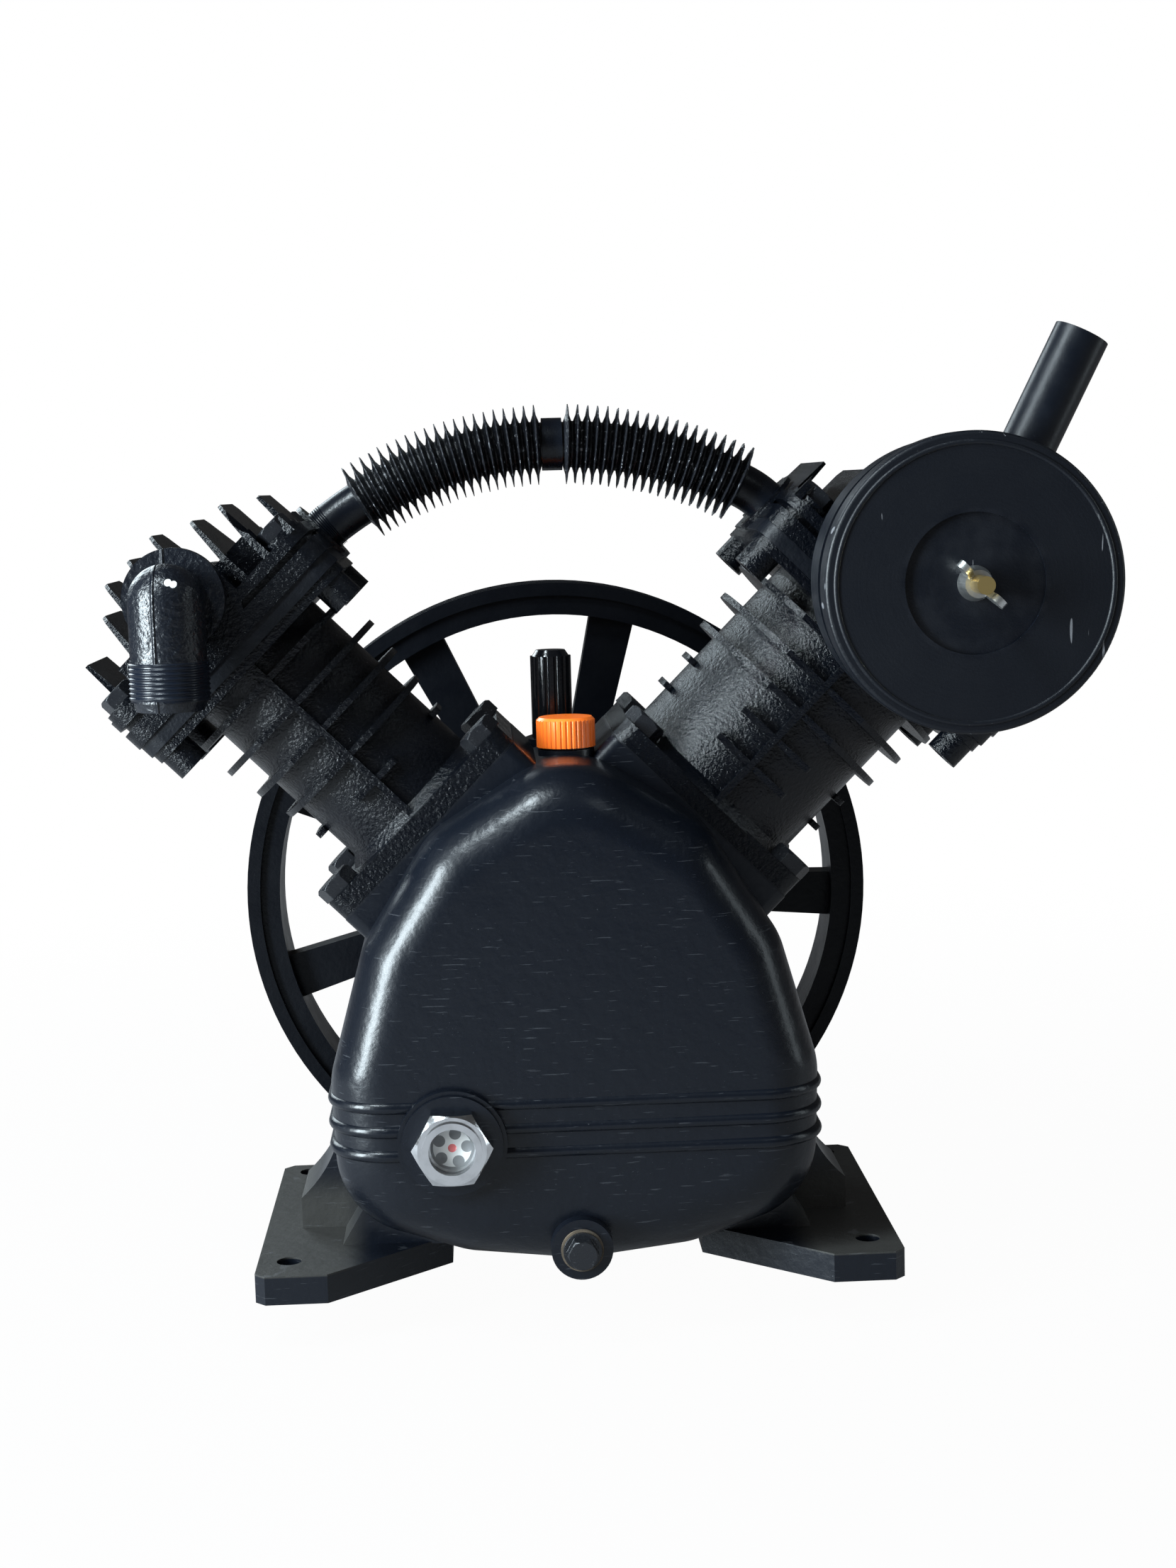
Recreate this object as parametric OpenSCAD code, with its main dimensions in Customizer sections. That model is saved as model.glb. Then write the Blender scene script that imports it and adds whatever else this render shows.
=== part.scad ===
// Two-stage V-twin air compressor pump, belt driven, in millimetres.
// The origin is the middle of the four foot bolts on the foot plane, +Z is up,
// +Y runs back along the crank to the flywheel and +X runs from the small to the large cylinder.

/* [Crank train] */
// Height of the crank axis above the foot plane
axis_h = 152; // [148:1:158]
// Throw of the crank, half of the stroke
throw_r = 30; // [28:0.5:31]
// Centre distance of each connecting rod
rod_l = 150; // [147:1:155]
// Height of a piston's crown above its pin
crown_h = 32; // [28:1:34]
// Gap between a crown at the top of its stroke and the cylinder's top face
squish = 1; // [0.5:0.1:2]
// Diameter of the crankpin
crankpin_d = 34; // [30:1:36]
// Distance from the crank's middle to each bank's centre line along the crank
bank_y = 11; // [11:0.25:13]
// Width of a rod's big end
big_end_w = 20; // [16:0.5:20]
// Thickness of each crank web
web_t = 16; // [14:1:18]
// Diameter of the drive shaft in its bearing and in the flywheel hub
shaft_d = 40; // [36:1:44]

/* [Crankcase] */
// Half width of the case at its three beads
case_half_w = 116; // [114:0.5:120]
// Distance from the crank's middle to the front face
case_front = 105; // [102:0.5:112]
// Distance from the crank's middle to the rear face
case_back = 75; // [74:0.5:82]
// Radius that rounds the front edge
case_fillet = 28; // [22:1:32]
// Wall thickness of the casting
case_wall = 7; // [6:0.5:9]
// Height of the cylinder pads above the shoulder of the case, along each bank
pad_rise = 0.56; // [0.3:0.02:3]
// Radius of the beads that run round the case
bead_r = 3; // [2:0.25:3.5]
// Spacing of the beads
bead_pitch = 11.5; // [9:0.5:13]

/* [Feet] */
// Spacing of the foot bolts across the pump
foot_x = 280; // [274:1:290]
// Spacing of the foot bolts along the crank
foot_y = 150; // [140:1:156]
// Diameter of the foot bolt holes
foot_hole_d = 12; // [10:0.5:14]
// Thickness of a foot
foot_t = 14; // [10:0.5:16]

/* [Cylinders] */
// Bore of the small, high-pressure cylinder
small_bore = 60; // [56:1:62]
// Outside diameter of the high-pressure barrel
small_barrel_d = 78; // [76:1:82]
// Bore of the large, low-pressure cylinder
large_bore = 85; // [80:1:87]
// Outside diameter of the low-pressure barrel
large_barrel_d = 100; // [98:1:101]
// Thickness of a cylinder's base flange
base_flange_t = 10; // [8:0.5:12]
// Half length of the base flange across the bank
base_half_v = 59; // [57:0.5:61]
// Half depth of the base flange along the crank
base_half_y = 51; // [50:0.5:54]
// Thickness of a cooling fin on a barrel
fin_t = 3.2; // [2.5:0.1:4]
// Spacing of the barrel fins, as a share of the barrel from base flange to deck
fin_pitch_share = 0.1606; // [0.15:0.005:0.165]
// Height of the lowest fin above the base flange, as a share of the barrel
fin_first_share = 0.2248; // [0.2:0.005:0.24]
// Thickness of a cylinder's top flange
top_flange_t = 5; // [4:0.5:9]
// Thickness of the gaskets
gasket_t = 1; // [0.6:0.1:1.5]

/* [Heads] */
// Half length of the high-pressure head across its bank
small_head_v = 66; // [65:0.5:70]
// Half depth of the high-pressure head along the crank
small_head_y = 52; // [51:0.5:56]
// Half length of the low-pressure head across its bank
large_head_v = 78; // [74:0.5:80]
// Half depth of the low-pressure head along the crank
large_head_y = 60; // [58:0.5:64]
// Thickness of a valve plate
valve_plate_t = 5; // [4:0.5:7]
// Height of a head from its gasket to its deck
head_base_t = 18; // [16:0.5:22]
// Height of the tallest head fin above the deck
head_fin_h = 48; // [40:1:50]
// Thickness of a head fin
head_fin_t = 3.5; // [3:0.1:4.5]
// Height of the valve chamber above the deck
chamber_h = 28; // [26:0.5:32]
// Height of the front port above the deck
port_h = 17.5; // [16:0.5:18]

/* [Intercooler] */
// Outside diameter of the intercooler tube
tube_d = 22; // [20:0.5:24]
// Wall of the intercooler tube
tube_wall = 1.5; // [1:0.1:2]
// Outside diameter of the tube fins
tube_fin_d = 36; // [34:0.5:38]
// Rise of the crown above the tube's low-pressure end
tube_rise = 32; // [28:0.5:36]
// Thickness of a tube fin
tube_fin_t = 1; // [0.8:0.1:1.4]
// Spacing of the tube fins
tube_fin_pitch = 4.5; // [4:0.1:6]

/* [Discharge] */
// Diameter of the discharge elbow's body
elbow_d = 35; // [33:0.5:37]
// Outside diameter of the discharge thread
discharge_d = 35.8; // [34:0.2:37]
// Length of the discharge thread
discharge_l = 19; // [16:1:20]

/* [Air filter] */
// Radius of the filter cover
filter_r = 67; // [64:0.5:70]
// Depth of the filter from its cover to the back of its pan
filter_depth = 58; // [54:1:62]
// Diameter of the intake pipe
intake_d = 25.2; // [22:0.4:27]
// Length of the intake pipe beyond the pan
intake_l = 55; // [40:1:60]
// Lean of the intake pipe from the vertical
intake_lean = 26.6; // [10:0.2:40]
// Thickness of the filter's sheet metal
sheet_t = 1.5; // [1.2:0.1:2]

/* [Flywheel] */
// Outside diameter of the flywheel
wheel_d = 350; // [330:1:352]
// Width of the rim
rim_w = 42; // [40:1:46]
// Depth of the rim from its outside to its inside
rim_t = 18; // [17:0.5:20]
// Number of spokes
spokes = 9; // [7:1:9]
// Width of a spoke at the rim
spoke_rim_w = 25; // [20:1:27]
// Width of a spoke at the hub
spoke_hub_w = 17; // [14:1:19]
// Number of belt grooves
grooves = 2; // [1:1:2]

/* [Small fittings] */
// Across the flats of the hexagon bolts
bolt_af = 18; // [17:0.5:19]
// Diameter of the hexagon bolts' shanks
bolt_d = 12; // [10:0.5:12]
// Across the flats of the sight glass ring
sight_af = 33; // [31:0.5:36]
// Diameter of the orange filler cap
cap_d = 28.8; // [26:0.2:31]
// Height of the filler cap above its seat
cap_h = 14.5; // [12:0.5:17]
// Diameter of the breather
breather_d = 20.8; // [18:0.2:22]
// Height of the breather above its boss
breather_h = 45; // [38:1:50]

/* [Hidden] */
$fn = 64;
BLACK = "#22252a";
// Running clearance between a turning shaft and what it turns in
run_fit = 0.05;
// Clearance between parts that are pushed or screwed together
seat_fit = 0.1;
// Clearance round parts that pass through one another
free_fit = 0.4;
// Overrun that carries a cut past a face
over = 1;
// Thin slice that a hull is strung between
slice = 0.02;
SMALL = -1;
LARGE = 1;
bank_angle = 45;
// Heights along a bank, measured from the crank axis
shoulder_share = 0.7969;
pad_u = shoulder_share * case_half_w + pad_rise;
deck_u = throw_r + rod_l + crown_h + squish;
plate_u = deck_u + gasket_t;
head_u = plate_u + valve_plate_t + gasket_t;
head_deck_u = head_u + head_base_t;
tube_u = head_u + head_base_t / 2;
tube_y = 10;
elbow_bend_r = 50;
joint_gap = 0.5;
sleeve_l = 10;
port_u = head_deck_u + port_h;
fin_top_u = head_deck_u + head_fin_h;
flange_top_u = pad_u + gasket_t + base_flange_t;
barrel_l = deck_u - flange_top_u;
fin_pitch = fin_pitch_share * barrel_l;
fin_u = flange_top_u + fin_first_share * barrel_l;
spigot_l = 13;
bore_in_u = pad_u - spigot_l;
spigot_wall = 4;
bolt_v = base_half_v - 9;
bolt_y = base_half_y - 13;
head_bolt_d = 10;
head_bolt_af = 16;
head_bolt_h = 7;
bolt_head_h = 7.5;
rod_lean = asin(throw_r * sin(bank_angle) / rod_l);
pin_u = throw_r * cos(bank_angle) + rod_l * cos(rod_lean);
pin_v = throw_r * sin(bank_angle);
small_pin_d = 18;
bearing_d = 80;
bearing_w = 20;
front_journal_d = 35;
web_y = big_end_w + 3;
shaft_seat = 17;
wheel_face = 143;
wheel_back = wheel_face + rim_w;
cover_r = 78;
cover_t = 12;
cover_face = case_back + gasket_t + cover_t;
cover_nose = cover_face + 29;
bearing_y = cover_face - 4;
seal_w = 8;
filter_x = port_u * sin(bank_angle);
filter_z = axis_h + port_u * cos(bank_angle);
filter_face = -144;
filter_back = filter_face + filter_depth;
small_front = -bank_y - small_head_y;
large_front = bank_y - large_head_y;
sight_x = -59;
sight_z = axis_h - 74;
sight_r = 25.7;
sight_front = -case_front - 7;
sight_hole_d = 22;
drain_z = axis_h - 126;
drain_r = 14.5;
drain_d = 14;
cap_x = 1.7;
cap_y = -30;
breather_x = -3.4;
breather_y = 20;
top_z = axis_h + 99;
cap_seat = top_z + 2;
stud_d = 8;

// Sizes of each bank, taken by its side
function bore(s) = s == SMALL ? small_bore : large_bore;
function barrel(s) = s == SMALL ? small_barrel_d : large_barrel_d;
function spigot(s) = bore(s) + 2 * spigot_wall;
function head_v(s) = s == SMALL ? small_head_v : large_head_v;
function head_y(s) = s == SMALL ? small_head_y : large_head_y;

// Children stand in a bank's own axes: z up the bank, x outwards and down, y along the crank
module bank(s) {
    translate([0, s * bank_y, axis_h]) rotate([0, s * bank_angle, 0])
        mirror([s == SMALL ? 1 : 0, 0, 0]) children();
}
// A flat outline in x and z, drawn out along the crank
module along_y(y0, y1) {
    translate([0, y1, 0]) rotate([90, 0, 0]) linear_extrude(y1 - y0) children();
}
// A cylinder along the crank
module rod_y(y0, y1, r) {
    translate([0, y1, 0]) rotate([90, 0, 0]) cylinder(h = y1 - y0, r = r);
}
// A rectangle with round corners, about its middle
module round_rect(lx, ly, r) {
    square([lx - 2 * r, ly], center = true);
    square([lx, ly - 2 * r], center = true);
    for (x = [-1, 1], y = [-1, 1]) translate([x * (lx / 2 - r), y * (ly / 2 - r)]) circle(r);
}
module round_block(lx, ly, r, h) { linear_extrude(h) round_rect(lx, ly, r); }
// A hexagon bolt: head on z = 0 upwards, shank below
module hex_bolt(af, d, head_h, shank) {
    washer_h = head_h * 0.16;
    cylinder(h = washer_h, d = af * 0.98);
    intersection() {
        cylinder(h = head_h, d = af / cos(30), $fn = 6);
        translate([0, 0, -shank]) cylinder(h = shank + head_h + af / 2, r1 = af / 2 + shank + head_h, r2 = 0);
    }
    translate([0, 0, -shank]) cylinder(h = shank + washer_h, d = d);
}
module hex_nut(af, d, h) {
    difference() {
        cylinder(h = h, d = af / cos(30), $fn = 6);
        translate([0, 0, -over]) cylinder(h = h + 2 * over, d = d);
    }
}
module ring(ro, ri, h) {
    difference() {
        cylinder(h = h, r = ro);
        translate([0, 0, -over]) cylinder(h = h + 2 * over, r = ri);
    }
}
module ring_y(y0, y1, ro, ri) {
    translate([0, y1, 0]) rotate([90, 0, 0]) ring(ro, ri, y1 - y0);
}

// Round corners of the case outline as x, z and radius, in shares of the half width,
// all rolled about the crank axis
case_shares = [[0, 0.457, 0.397], [0.328, 0.328, 0.333], [0.534, -0.017, 0.345],
    [0.655, -0.448, 0.345], [0.638, -0.724, 0.353], [0.388, -0.806, 0.353], [0, -0.776, 0.427]];
fillet_steps = 5;
rim_step = 6;
corners = [for (m = [1, -1], c = case_shares) [m * c[0], c[1], c[2]] * case_half_w];
function reach(c, t) = c[0] * cos(t) + c[1] * sin(t) + c[2];
// The farthest point of the outline towards angle t, shrunk about its middle by an inset
case_mid = -0.173 * case_half_w;
function rim_point(t, inset) = let (best = max([for (c = corners) reach(c, t)]),
    c = [for (c = corners) if (reach(c, t) == best) c][0], k = 1 - inset / case_half_w)
    [(c[0] + c[2] * cos(t)) * k, axis_h + case_mid + (c[1] - case_mid + c[2] * sin(t)) * k];
module case_outline(inset) polygon([for (t = [0:rim_step:360 - rim_step]) rim_point(t, inset)]);
// The body is a straight shell with a pillow front: the outline drawn in round the front edge
module case_body() {
    shoulder = -case_front + case_fillet;
    along_y(shoulder, case_back) case_outline(0);
    hull() for (i = [0:fillet_steps]) let (a = 90 * i / fillet_steps, y = -case_front + case_fillet * (1 - sin(a)))
        along_y(i == 0 ? shoulder - slice : y, i == 0 ? shoulder : y + slice) case_outline(case_fillet * (1 - cos(a)));
}
bead_drop = 57;
// One bead: two flanks, the front and its two round corners
module bead(z) {
    reach = case_half_w - bead_r * 0.35;
    corner = case_fillet;
    front = case_front - bead_r * 0.35;
    translate([0, 0, z]) {
        for (m = [-1, 1]) {
            translate([m * reach, 0, 0]) rod_y(-front + corner, case_back, bead_r);
            translate([m * (reach - corner), corner - front, 0]) intersection() {
                rotate_extrude() translate([corner, 0]) circle(bead_r);
                translate([m > 0 ? 0 : -2 * corner, -2 * corner, -corner]) cube(2 * corner);
            }
        }
        translate([corner - reach, -front, 0]) rotate([0, 90, 0]) cylinder(h = 2 * (reach - corner), r = bead_r);
    }
}
foot_out = foot_x / 2 + 15;
foot_front = foot_y / 2 + 22;
foot_rear = foot_y / 2 + 13;
foot_in = 62;
foot_corner = 5;
// One foot: a plate with slanting inner edges, its gusset and its two bolt holes
module foot(m) {
    mirror([m < 0 ? 1 : 0, 0, 0]) difference() {
        union() {
            linear_extrude(foot_t) {
                polygon([[foot_in, -foot_y * 0.3], [foot_x * 0.43, -foot_front],
                    [foot_out - foot_corner, -foot_front], [foot_out, -foot_front + foot_corner],
                    [foot_out, foot_rear - foot_corner], [foot_out - foot_corner, foot_rear],
                    [foot_x * 0.4, foot_rear], [foot_in, foot_y * 0.42]]);
            }
            translate([0, 0, foot_t]) foot_arm();
            foot_web();
        }
        for (y = [-1, 1]) translate([foot_x / 2, y * foot_y / 2, -over])
            cylinder(h = foot_t + 2 * over, d = foot_hole_d);
    }
}
web_half = 24;
web_top = axis_h - 74;
// The gusset's hollow flank is an arc from the case side down to the plate
module foot_web() {
    arc_r = web_top - foot_t;
    along_y(-web_half, web_half) difference() {
        translate([foot_in, 0]) square([foot_out - foot_corner - foot_in, web_top]);
        translate([case_half_w - over + arc_r, web_top]) circle(arc_r);
        translate([foot_out - foot_corner - arc_r * 0.2, foot_t]) square(arc_r);
    }
}
// The low arm that ties the plate to the bowl, fore and aft of the gusset
module foot_arm() {
    arm_h = foot_t * 1.6;
    along_y(-foot_y * 0.36, foot_y * 0.42)
        polygon([[foot_in, -over], [case_half_w, -over], [case_half_w - foot_t, arm_h], [foot_in, arm_h]]);
}
module bolt_places(v, y) {
    for (i = [-1, 1], j = [-1, 1]) translate([i * v, j * y, 0]) children();
}
cavity_back = case_back - case_wall;
opening_r = cover_r - 16;
pocket_wall = 7;
// The hollow inside, as a crank chamber that runs into a wide sump, in shares of the half width
chamber_share = 0.733;
sump_share = 0.836;
sump_drop_share = 0.293;
module cavity_outline(inset) {
    translate([0, axis_h]) circle(chamber_share * case_half_w - inset);
    translate([0, axis_h - sump_drop_share * case_half_w]) circle(sump_share * case_half_w - inset);
    translate([0, sight_z + case_wall]) round_rect(2 * (case_half_w - 1.3 * case_wall - inset), 2.4 * case_fillet - inset,
        case_fillet - inset / 2);
}
front_bearing_d = 72;
front_bearing_w = 17;
front_bearing_y = -case_front + case_wall + 10;
cover_bolt_r = cover_r - 8;
cover_bolts = 8;
module case_solid() {
    case_body();
    for (i = [0:2]) bead(axis_h - bead_drop - i * bead_pitch);
    for (s = [SMALL, LARGE]) bank(s) translate([0, 0, pad_u / 2])
        round_block(2 * base_half_v, 2 * base_half_y, 6, pad_u / 2);
    for (m = [-1, 1]) foot(m);
    translate([sight_x, 0, sight_z]) {
        rod_y(sight_front + 2, -case_front + case_wall, sight_r);
        rod_y(sight_front, sight_front + 3, sight_r - 2);
    }
    translate([0, 0, drain_z]) rod_y(sight_front, -case_front + case_fillet, drain_r);
    translate([cap_x, cap_y, top_z - case_wall]) cylinder(h = case_wall + 2, d = cap_d * 0.96);
    translate([breather_x, breather_y, top_z - case_wall]) cylinder(h = case_wall + 2, d = breather_d * 1.2);
}
module case_cavity() difference() {
    union() {
        along_y(-case_front + case_fillet, cavity_back) cavity_outline(0);
        along_y(-case_front + 1.6 * case_wall, -case_front + case_fillet + over) cavity_outline(case_fillet * 0.8);
    }
    translate([0, 0, axis_h]) rod_y(-case_front, front_bearing_y + front_bearing_w,
        front_bearing_d / 2 + pocket_wall);
    translate([sight_x, 0, sight_z]) rod_y(-case_front, -case_front + case_fillet + 5, sight_r);
}
module crank_openings() translate([0, 0, axis_h]) {
    rod_y(front_bearing_y, 0, front_bearing_d / 2 + seat_fit);
    rod_y(cavity_back - over, case_back + over, opening_r);
    for (i = [1:cover_bolts]) rotate([0, (i - 0.5) * 360 / cover_bolts, 0]) translate([0, 0, cover_bolt_r])
        rod_y(cavity_back - over, case_back + over, 4 + seat_fit);
}
module cylinder_openings() for (s = [SMALL, LARGE]) bank(s) {
    translate([0, 0, bore_in_u - over]) cylinder(h = pad_u, d = spigot(s) + 2 * free_fit);
    bolt_places(bolt_v, bolt_y) translate([0, 0, pad_u - 22])
        cylinder(h = 22 + over, d = bolt_d + 2 * seat_fit);
}
module fitting_holes() {
    translate([sight_x, 0, sight_z]) rod_y(sight_front - over, -case_front + case_fillet + 6, sight_hole_d / 2);
    translate([0, 0, drain_z]) rod_y(sight_front - over, -case_front / 2, drain_d / 2);
    translate([cap_x, cap_y, top_z - 3 * case_wall]) cylinder(h = 4 * case_wall, d = cap_d * 0.7);
    translate([breather_x, breather_y, top_z - 3 * case_wall]) cylinder(h = 4 * case_wall, d = 14);
}
module crankcase() color(BLACK) difference() {
    case_solid();
    case_cavity();
    crank_openings();
    cylinder_openings();
    fitting_holes();
}
cover_spigot = 5;
module rear_cover() color(BLACK) translate([0, 0, axis_h]) difference() {
    union() {
        rod_y(case_back + gasket_t, cover_face, cover_r);
        rod_y(case_back - cover_spigot, cover_face, opening_r - free_fit);
        rod_y(cover_face - over, cover_nose, bearing_d / 2 + pocket_wall);
        for (i = [1:6]) rotate([0, i * 60, 0]) along_y(cover_face - over, cover_face + 12)
            translate([-3, 0]) square([6, cover_r - 16]);
    }
    rod_y(case_back - cover_spigot - over, bearing_y + bearing_w, bearing_d / 2 + seat_fit);
    rod_y(cover_face, cover_nose + over, shaft_d / 2 + 10 + seat_fit);
    for (i = [1:cover_bolts]) rotate([0, (i - 0.5) * 360 / cover_bolts, 0]) translate([0, 0, cover_bolt_r])
        rod_y(case_back - cover_spigot - over, cover_face + over, 4 + free_fit);
}
module rear_cover_gasket() color("#5a4a38") translate([0, 0, axis_h]) difference() {
    ring_y(case_back, case_back + gasket_t, cover_r, opening_r);
    for (i = [1:cover_bolts]) rotate([0, (i - 0.5) * 360 / cover_bolts, 0]) translate([0, 0, cover_bolt_r])
        rod_y(case_back - over, case_back + 2 * over, 4 + free_fit);
}
module rear_cover_bolts() color(BLACK) translate([0, 0, axis_h])
    for (i = [1:cover_bolts]) rotate([0, (i - 0.5) * 360 / cover_bolts, 0])
        translate([0, cover_face, cover_bolt_r]) rotate([-90, 0, 0]) hex_bolt(12, 8, 5, cover_t + gasket_t + 6);

// A ball bearing as one ring set: outer race, balls and inner race stay apart
module ball_bearing(y, w, od, id) color("silver") translate([0, y, axis_h]) {
    gap_r = (od - id) * 0.15;
    mid_r = (od + id) / 4;
    ball_r = (od - id) * 0.155;
    ring_y(0, w, od / 2, mid_r + gap_r * 0.6);
    ring_y(0, w, mid_r - gap_r * 0.6, id / 2);
    ring_y(w * 0.2, w * 0.8, mid_r + gap_r * 0.6, mid_r - gap_r * 0.6);
    for (i = [1:9]) rotate([0, i * 40, 0]) translate([0, w / 2, mid_r]) sphere(ball_r);
}
module front_bearing() ball_bearing(front_bearing_y, front_bearing_w, front_bearing_d, front_journal_d + 2 * seat_fit);
module rear_bearing() ball_bearing(bearing_y, bearing_w - 1, bearing_d, shaft_d + 2 * run_fit);
module oil_seal() color("#3a2520") translate([0, 0, axis_h])
    ring_y(cover_nose - seal_w, cover_nose - 1, shaft_d / 2 + 10, shaft_d / 2 + run_fit);

web_r = 58;
web_neck = crankpin_d / 2 + 8;
module crank_web() {
    difference() {
        union() {
            intersection() {
                circle(web_r);
                translate([-web_r, -web_r]) square([2 * web_r, web_r]);
            }
            translate([0, throw_r]) circle(web_neck);
            translate([-web_neck, -over]) square([2 * web_neck, throw_r + over]);
        }
    }
}
module crank_throw() color("#8d9096") translate([0, 0, axis_h]) difference() {
    union() {
        rod_y(front_bearing_y + over, -web_y, front_journal_d / 2);
        rod_y(front_bearing_y + front_bearing_w, -web_y, front_journal_d / 2 + 4);
        along_y(-web_y - web_t, -web_y) crank_web();
        along_y(web_y, web_y + web_t) crank_web();
        translate([0, 0, throw_r]) rod_y(-web_y - over, web_y + over, crankpin_d / 2);
    }
    rod_y(web_y + web_t - shaft_seat + 5, web_y + web_t + over, shaft_d / 2 - 8);
}
rod_w = 20;
rod_web = 14;
small_end_r = small_pin_d / 2 + 6;
big_end_r = crankpin_d / 2 + 8;
rod_fit = 0.1;
// A connecting rod in its bank's axes, big end on the crankpin and small end on the piston pin
module rod(s) color("#a9adb2") bank(s) rod_frame() difference() {
    union() {
        along_y(-big_end_w / 2, big_end_w / 2) intersection() {
            circle(big_end_r);
            translate([-big_end_r, 0]) square(2 * big_end_r);
        }
        for (m = [-1, 1]) along_y(-big_end_w / 2, big_end_w / 2) translate([m * big_end_r - 5, 0]) square([10, 14]);
        along_y(-rod_web / 2, rod_web / 2) polygon([[-15, 14], [15, 14], [small_end_r * 0.7, rod_l - 8],
            [-small_end_r * 0.7, rod_l - 8]]);
        translate([0, 0, rod_l]) rod_y(-rod_w / 2 + 1, rod_w / 2 - 1, small_end_r);
    }
    rod_y(-rod_w, rod_w, crankpin_d / 2 + rod_fit);
    translate([0, 0, rod_l]) rod_y(-rod_w, rod_w, small_pin_d / 2 + rod_fit);
    for (m = [-1, 1]) translate([m * big_end_r, 0, -over]) cylinder(h = 20, d = 6 + seat_fit);
    for (y = [-1, 1]) along_y(y * rod_web / 2 - 3, y * rod_web / 2 + 3) polygon([[-9, 28], [9, 28],
        [small_end_r * 0.4, rod_l - 24], [-small_end_r * 0.4, rod_l - 24]]);
}
// The rod's axis starts at the crankpin, which lies inwards of the bank's axis
module rod_frame() {
    translate([-pin_v, 0, throw_r * cos(bank_angle)]) rotate([0, rod_lean, 0]) children();
}
module small_rod() rod(SMALL);
module large_rod() rod(LARGE);
module rod_caps() color("#a9adb2") for (s = [SMALL, LARGE]) bank(s) rod_frame() difference() {
    union() {
        along_y(-big_end_w / 2, big_end_w / 2) intersection() {
            circle(big_end_r);
            translate([-big_end_r, -2 * big_end_r]) square(2 * big_end_r);
        }
        for (m = [-1, 1]) along_y(-big_end_w / 2, big_end_w / 2) translate([m * big_end_r - 5, -12]) square([10, 12]);
    }
    rod_y(-rod_w, rod_w, crankpin_d / 2 + rod_fit);
    for (m = [-1, 1]) translate([m * big_end_r, 0, -20]) {
        cylinder(h = 20 + over, d = 6 + seat_fit);
        translate([0, 0, -5]) cylinder(h = 13, d = 13);
    }
}
module rod_bolts() color("#55585c") for (s = [SMALL, LARGE], m = [-1, 1]) bank(s) rod_frame()
    translate([m * big_end_r, 0, -12]) mirror([0, 0, 1]) hex_bolt(10, 6, 4, 23);
piston_fit = 0.1;
ring_groove = 2.5;
module piston(s) color("#c3c6ca") bank(s) translate([0, 0, pin_u]) {
    r = bore(s) / 2 - piston_fit;
    skirt = r * 0.62;
    difference() {
        translate([0, 0, -skirt]) cylinder(h = skirt + crown_h, r = r);
        translate([0, 0, -skirt - over]) cylinder(h = skirt + crown_h - 8 + over, r = r - 5);
        rod_y(-r - over, r + over, small_pin_d / 2 + seat_fit);
        for (i = [0:2]) translate([0, 0, crown_h - 5 - i * 5.5 - ring_groove]) ring(r + over, r - 2.5, ring_groove);
    }
    for (m = [-1, 1]) difference() {
        rod_y(m > 0 ? rod_w / 2 : 6 - r, m > 0 ? r - 6 : -rod_w / 2, small_pin_d / 2 + 4);
        rod_y(-r - over, r + over, small_pin_d / 2 + seat_fit);
    }
}
module small_piston() piston(SMALL);
module large_piston() piston(LARGE);
module piston_pins() color("silver") for (s = [SMALL, LARGE]) bank(s) translate([0, 0, pin_u])
    ring_y(4 - bore(s) / 2, bore(s) / 2 - 4, small_pin_d / 2, small_pin_d / 4);
module piston_rings() color("#6f7276") for (s = [SMALL, LARGE], i = [0:2]) bank(s)
    translate([0, 0, pin_u + crown_h - 5 - i * 5.5 - ring_groove + 0.1]) ring(bore(s) / 2 - 0.05, bore(s) / 2 - 2.2, ring_groove - 0.2);

// Half widths of the barrel fins across the bank, lowest first, as shares of the base flange
small_fin_shares = [0.736, 0.792, 0.834, 0.873, 0.91];
large_fin_shares = [0.919, 0.961, 1.007, 1.042, 1.105];
function fin_shares(s) = s == SMALL ? small_fin_shares : large_fin_shares;
top_flange_u = deck_u - top_flange_t;
stub_reach = 1.5;
lug_l = 12;
lug_r = 8.5;
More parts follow.
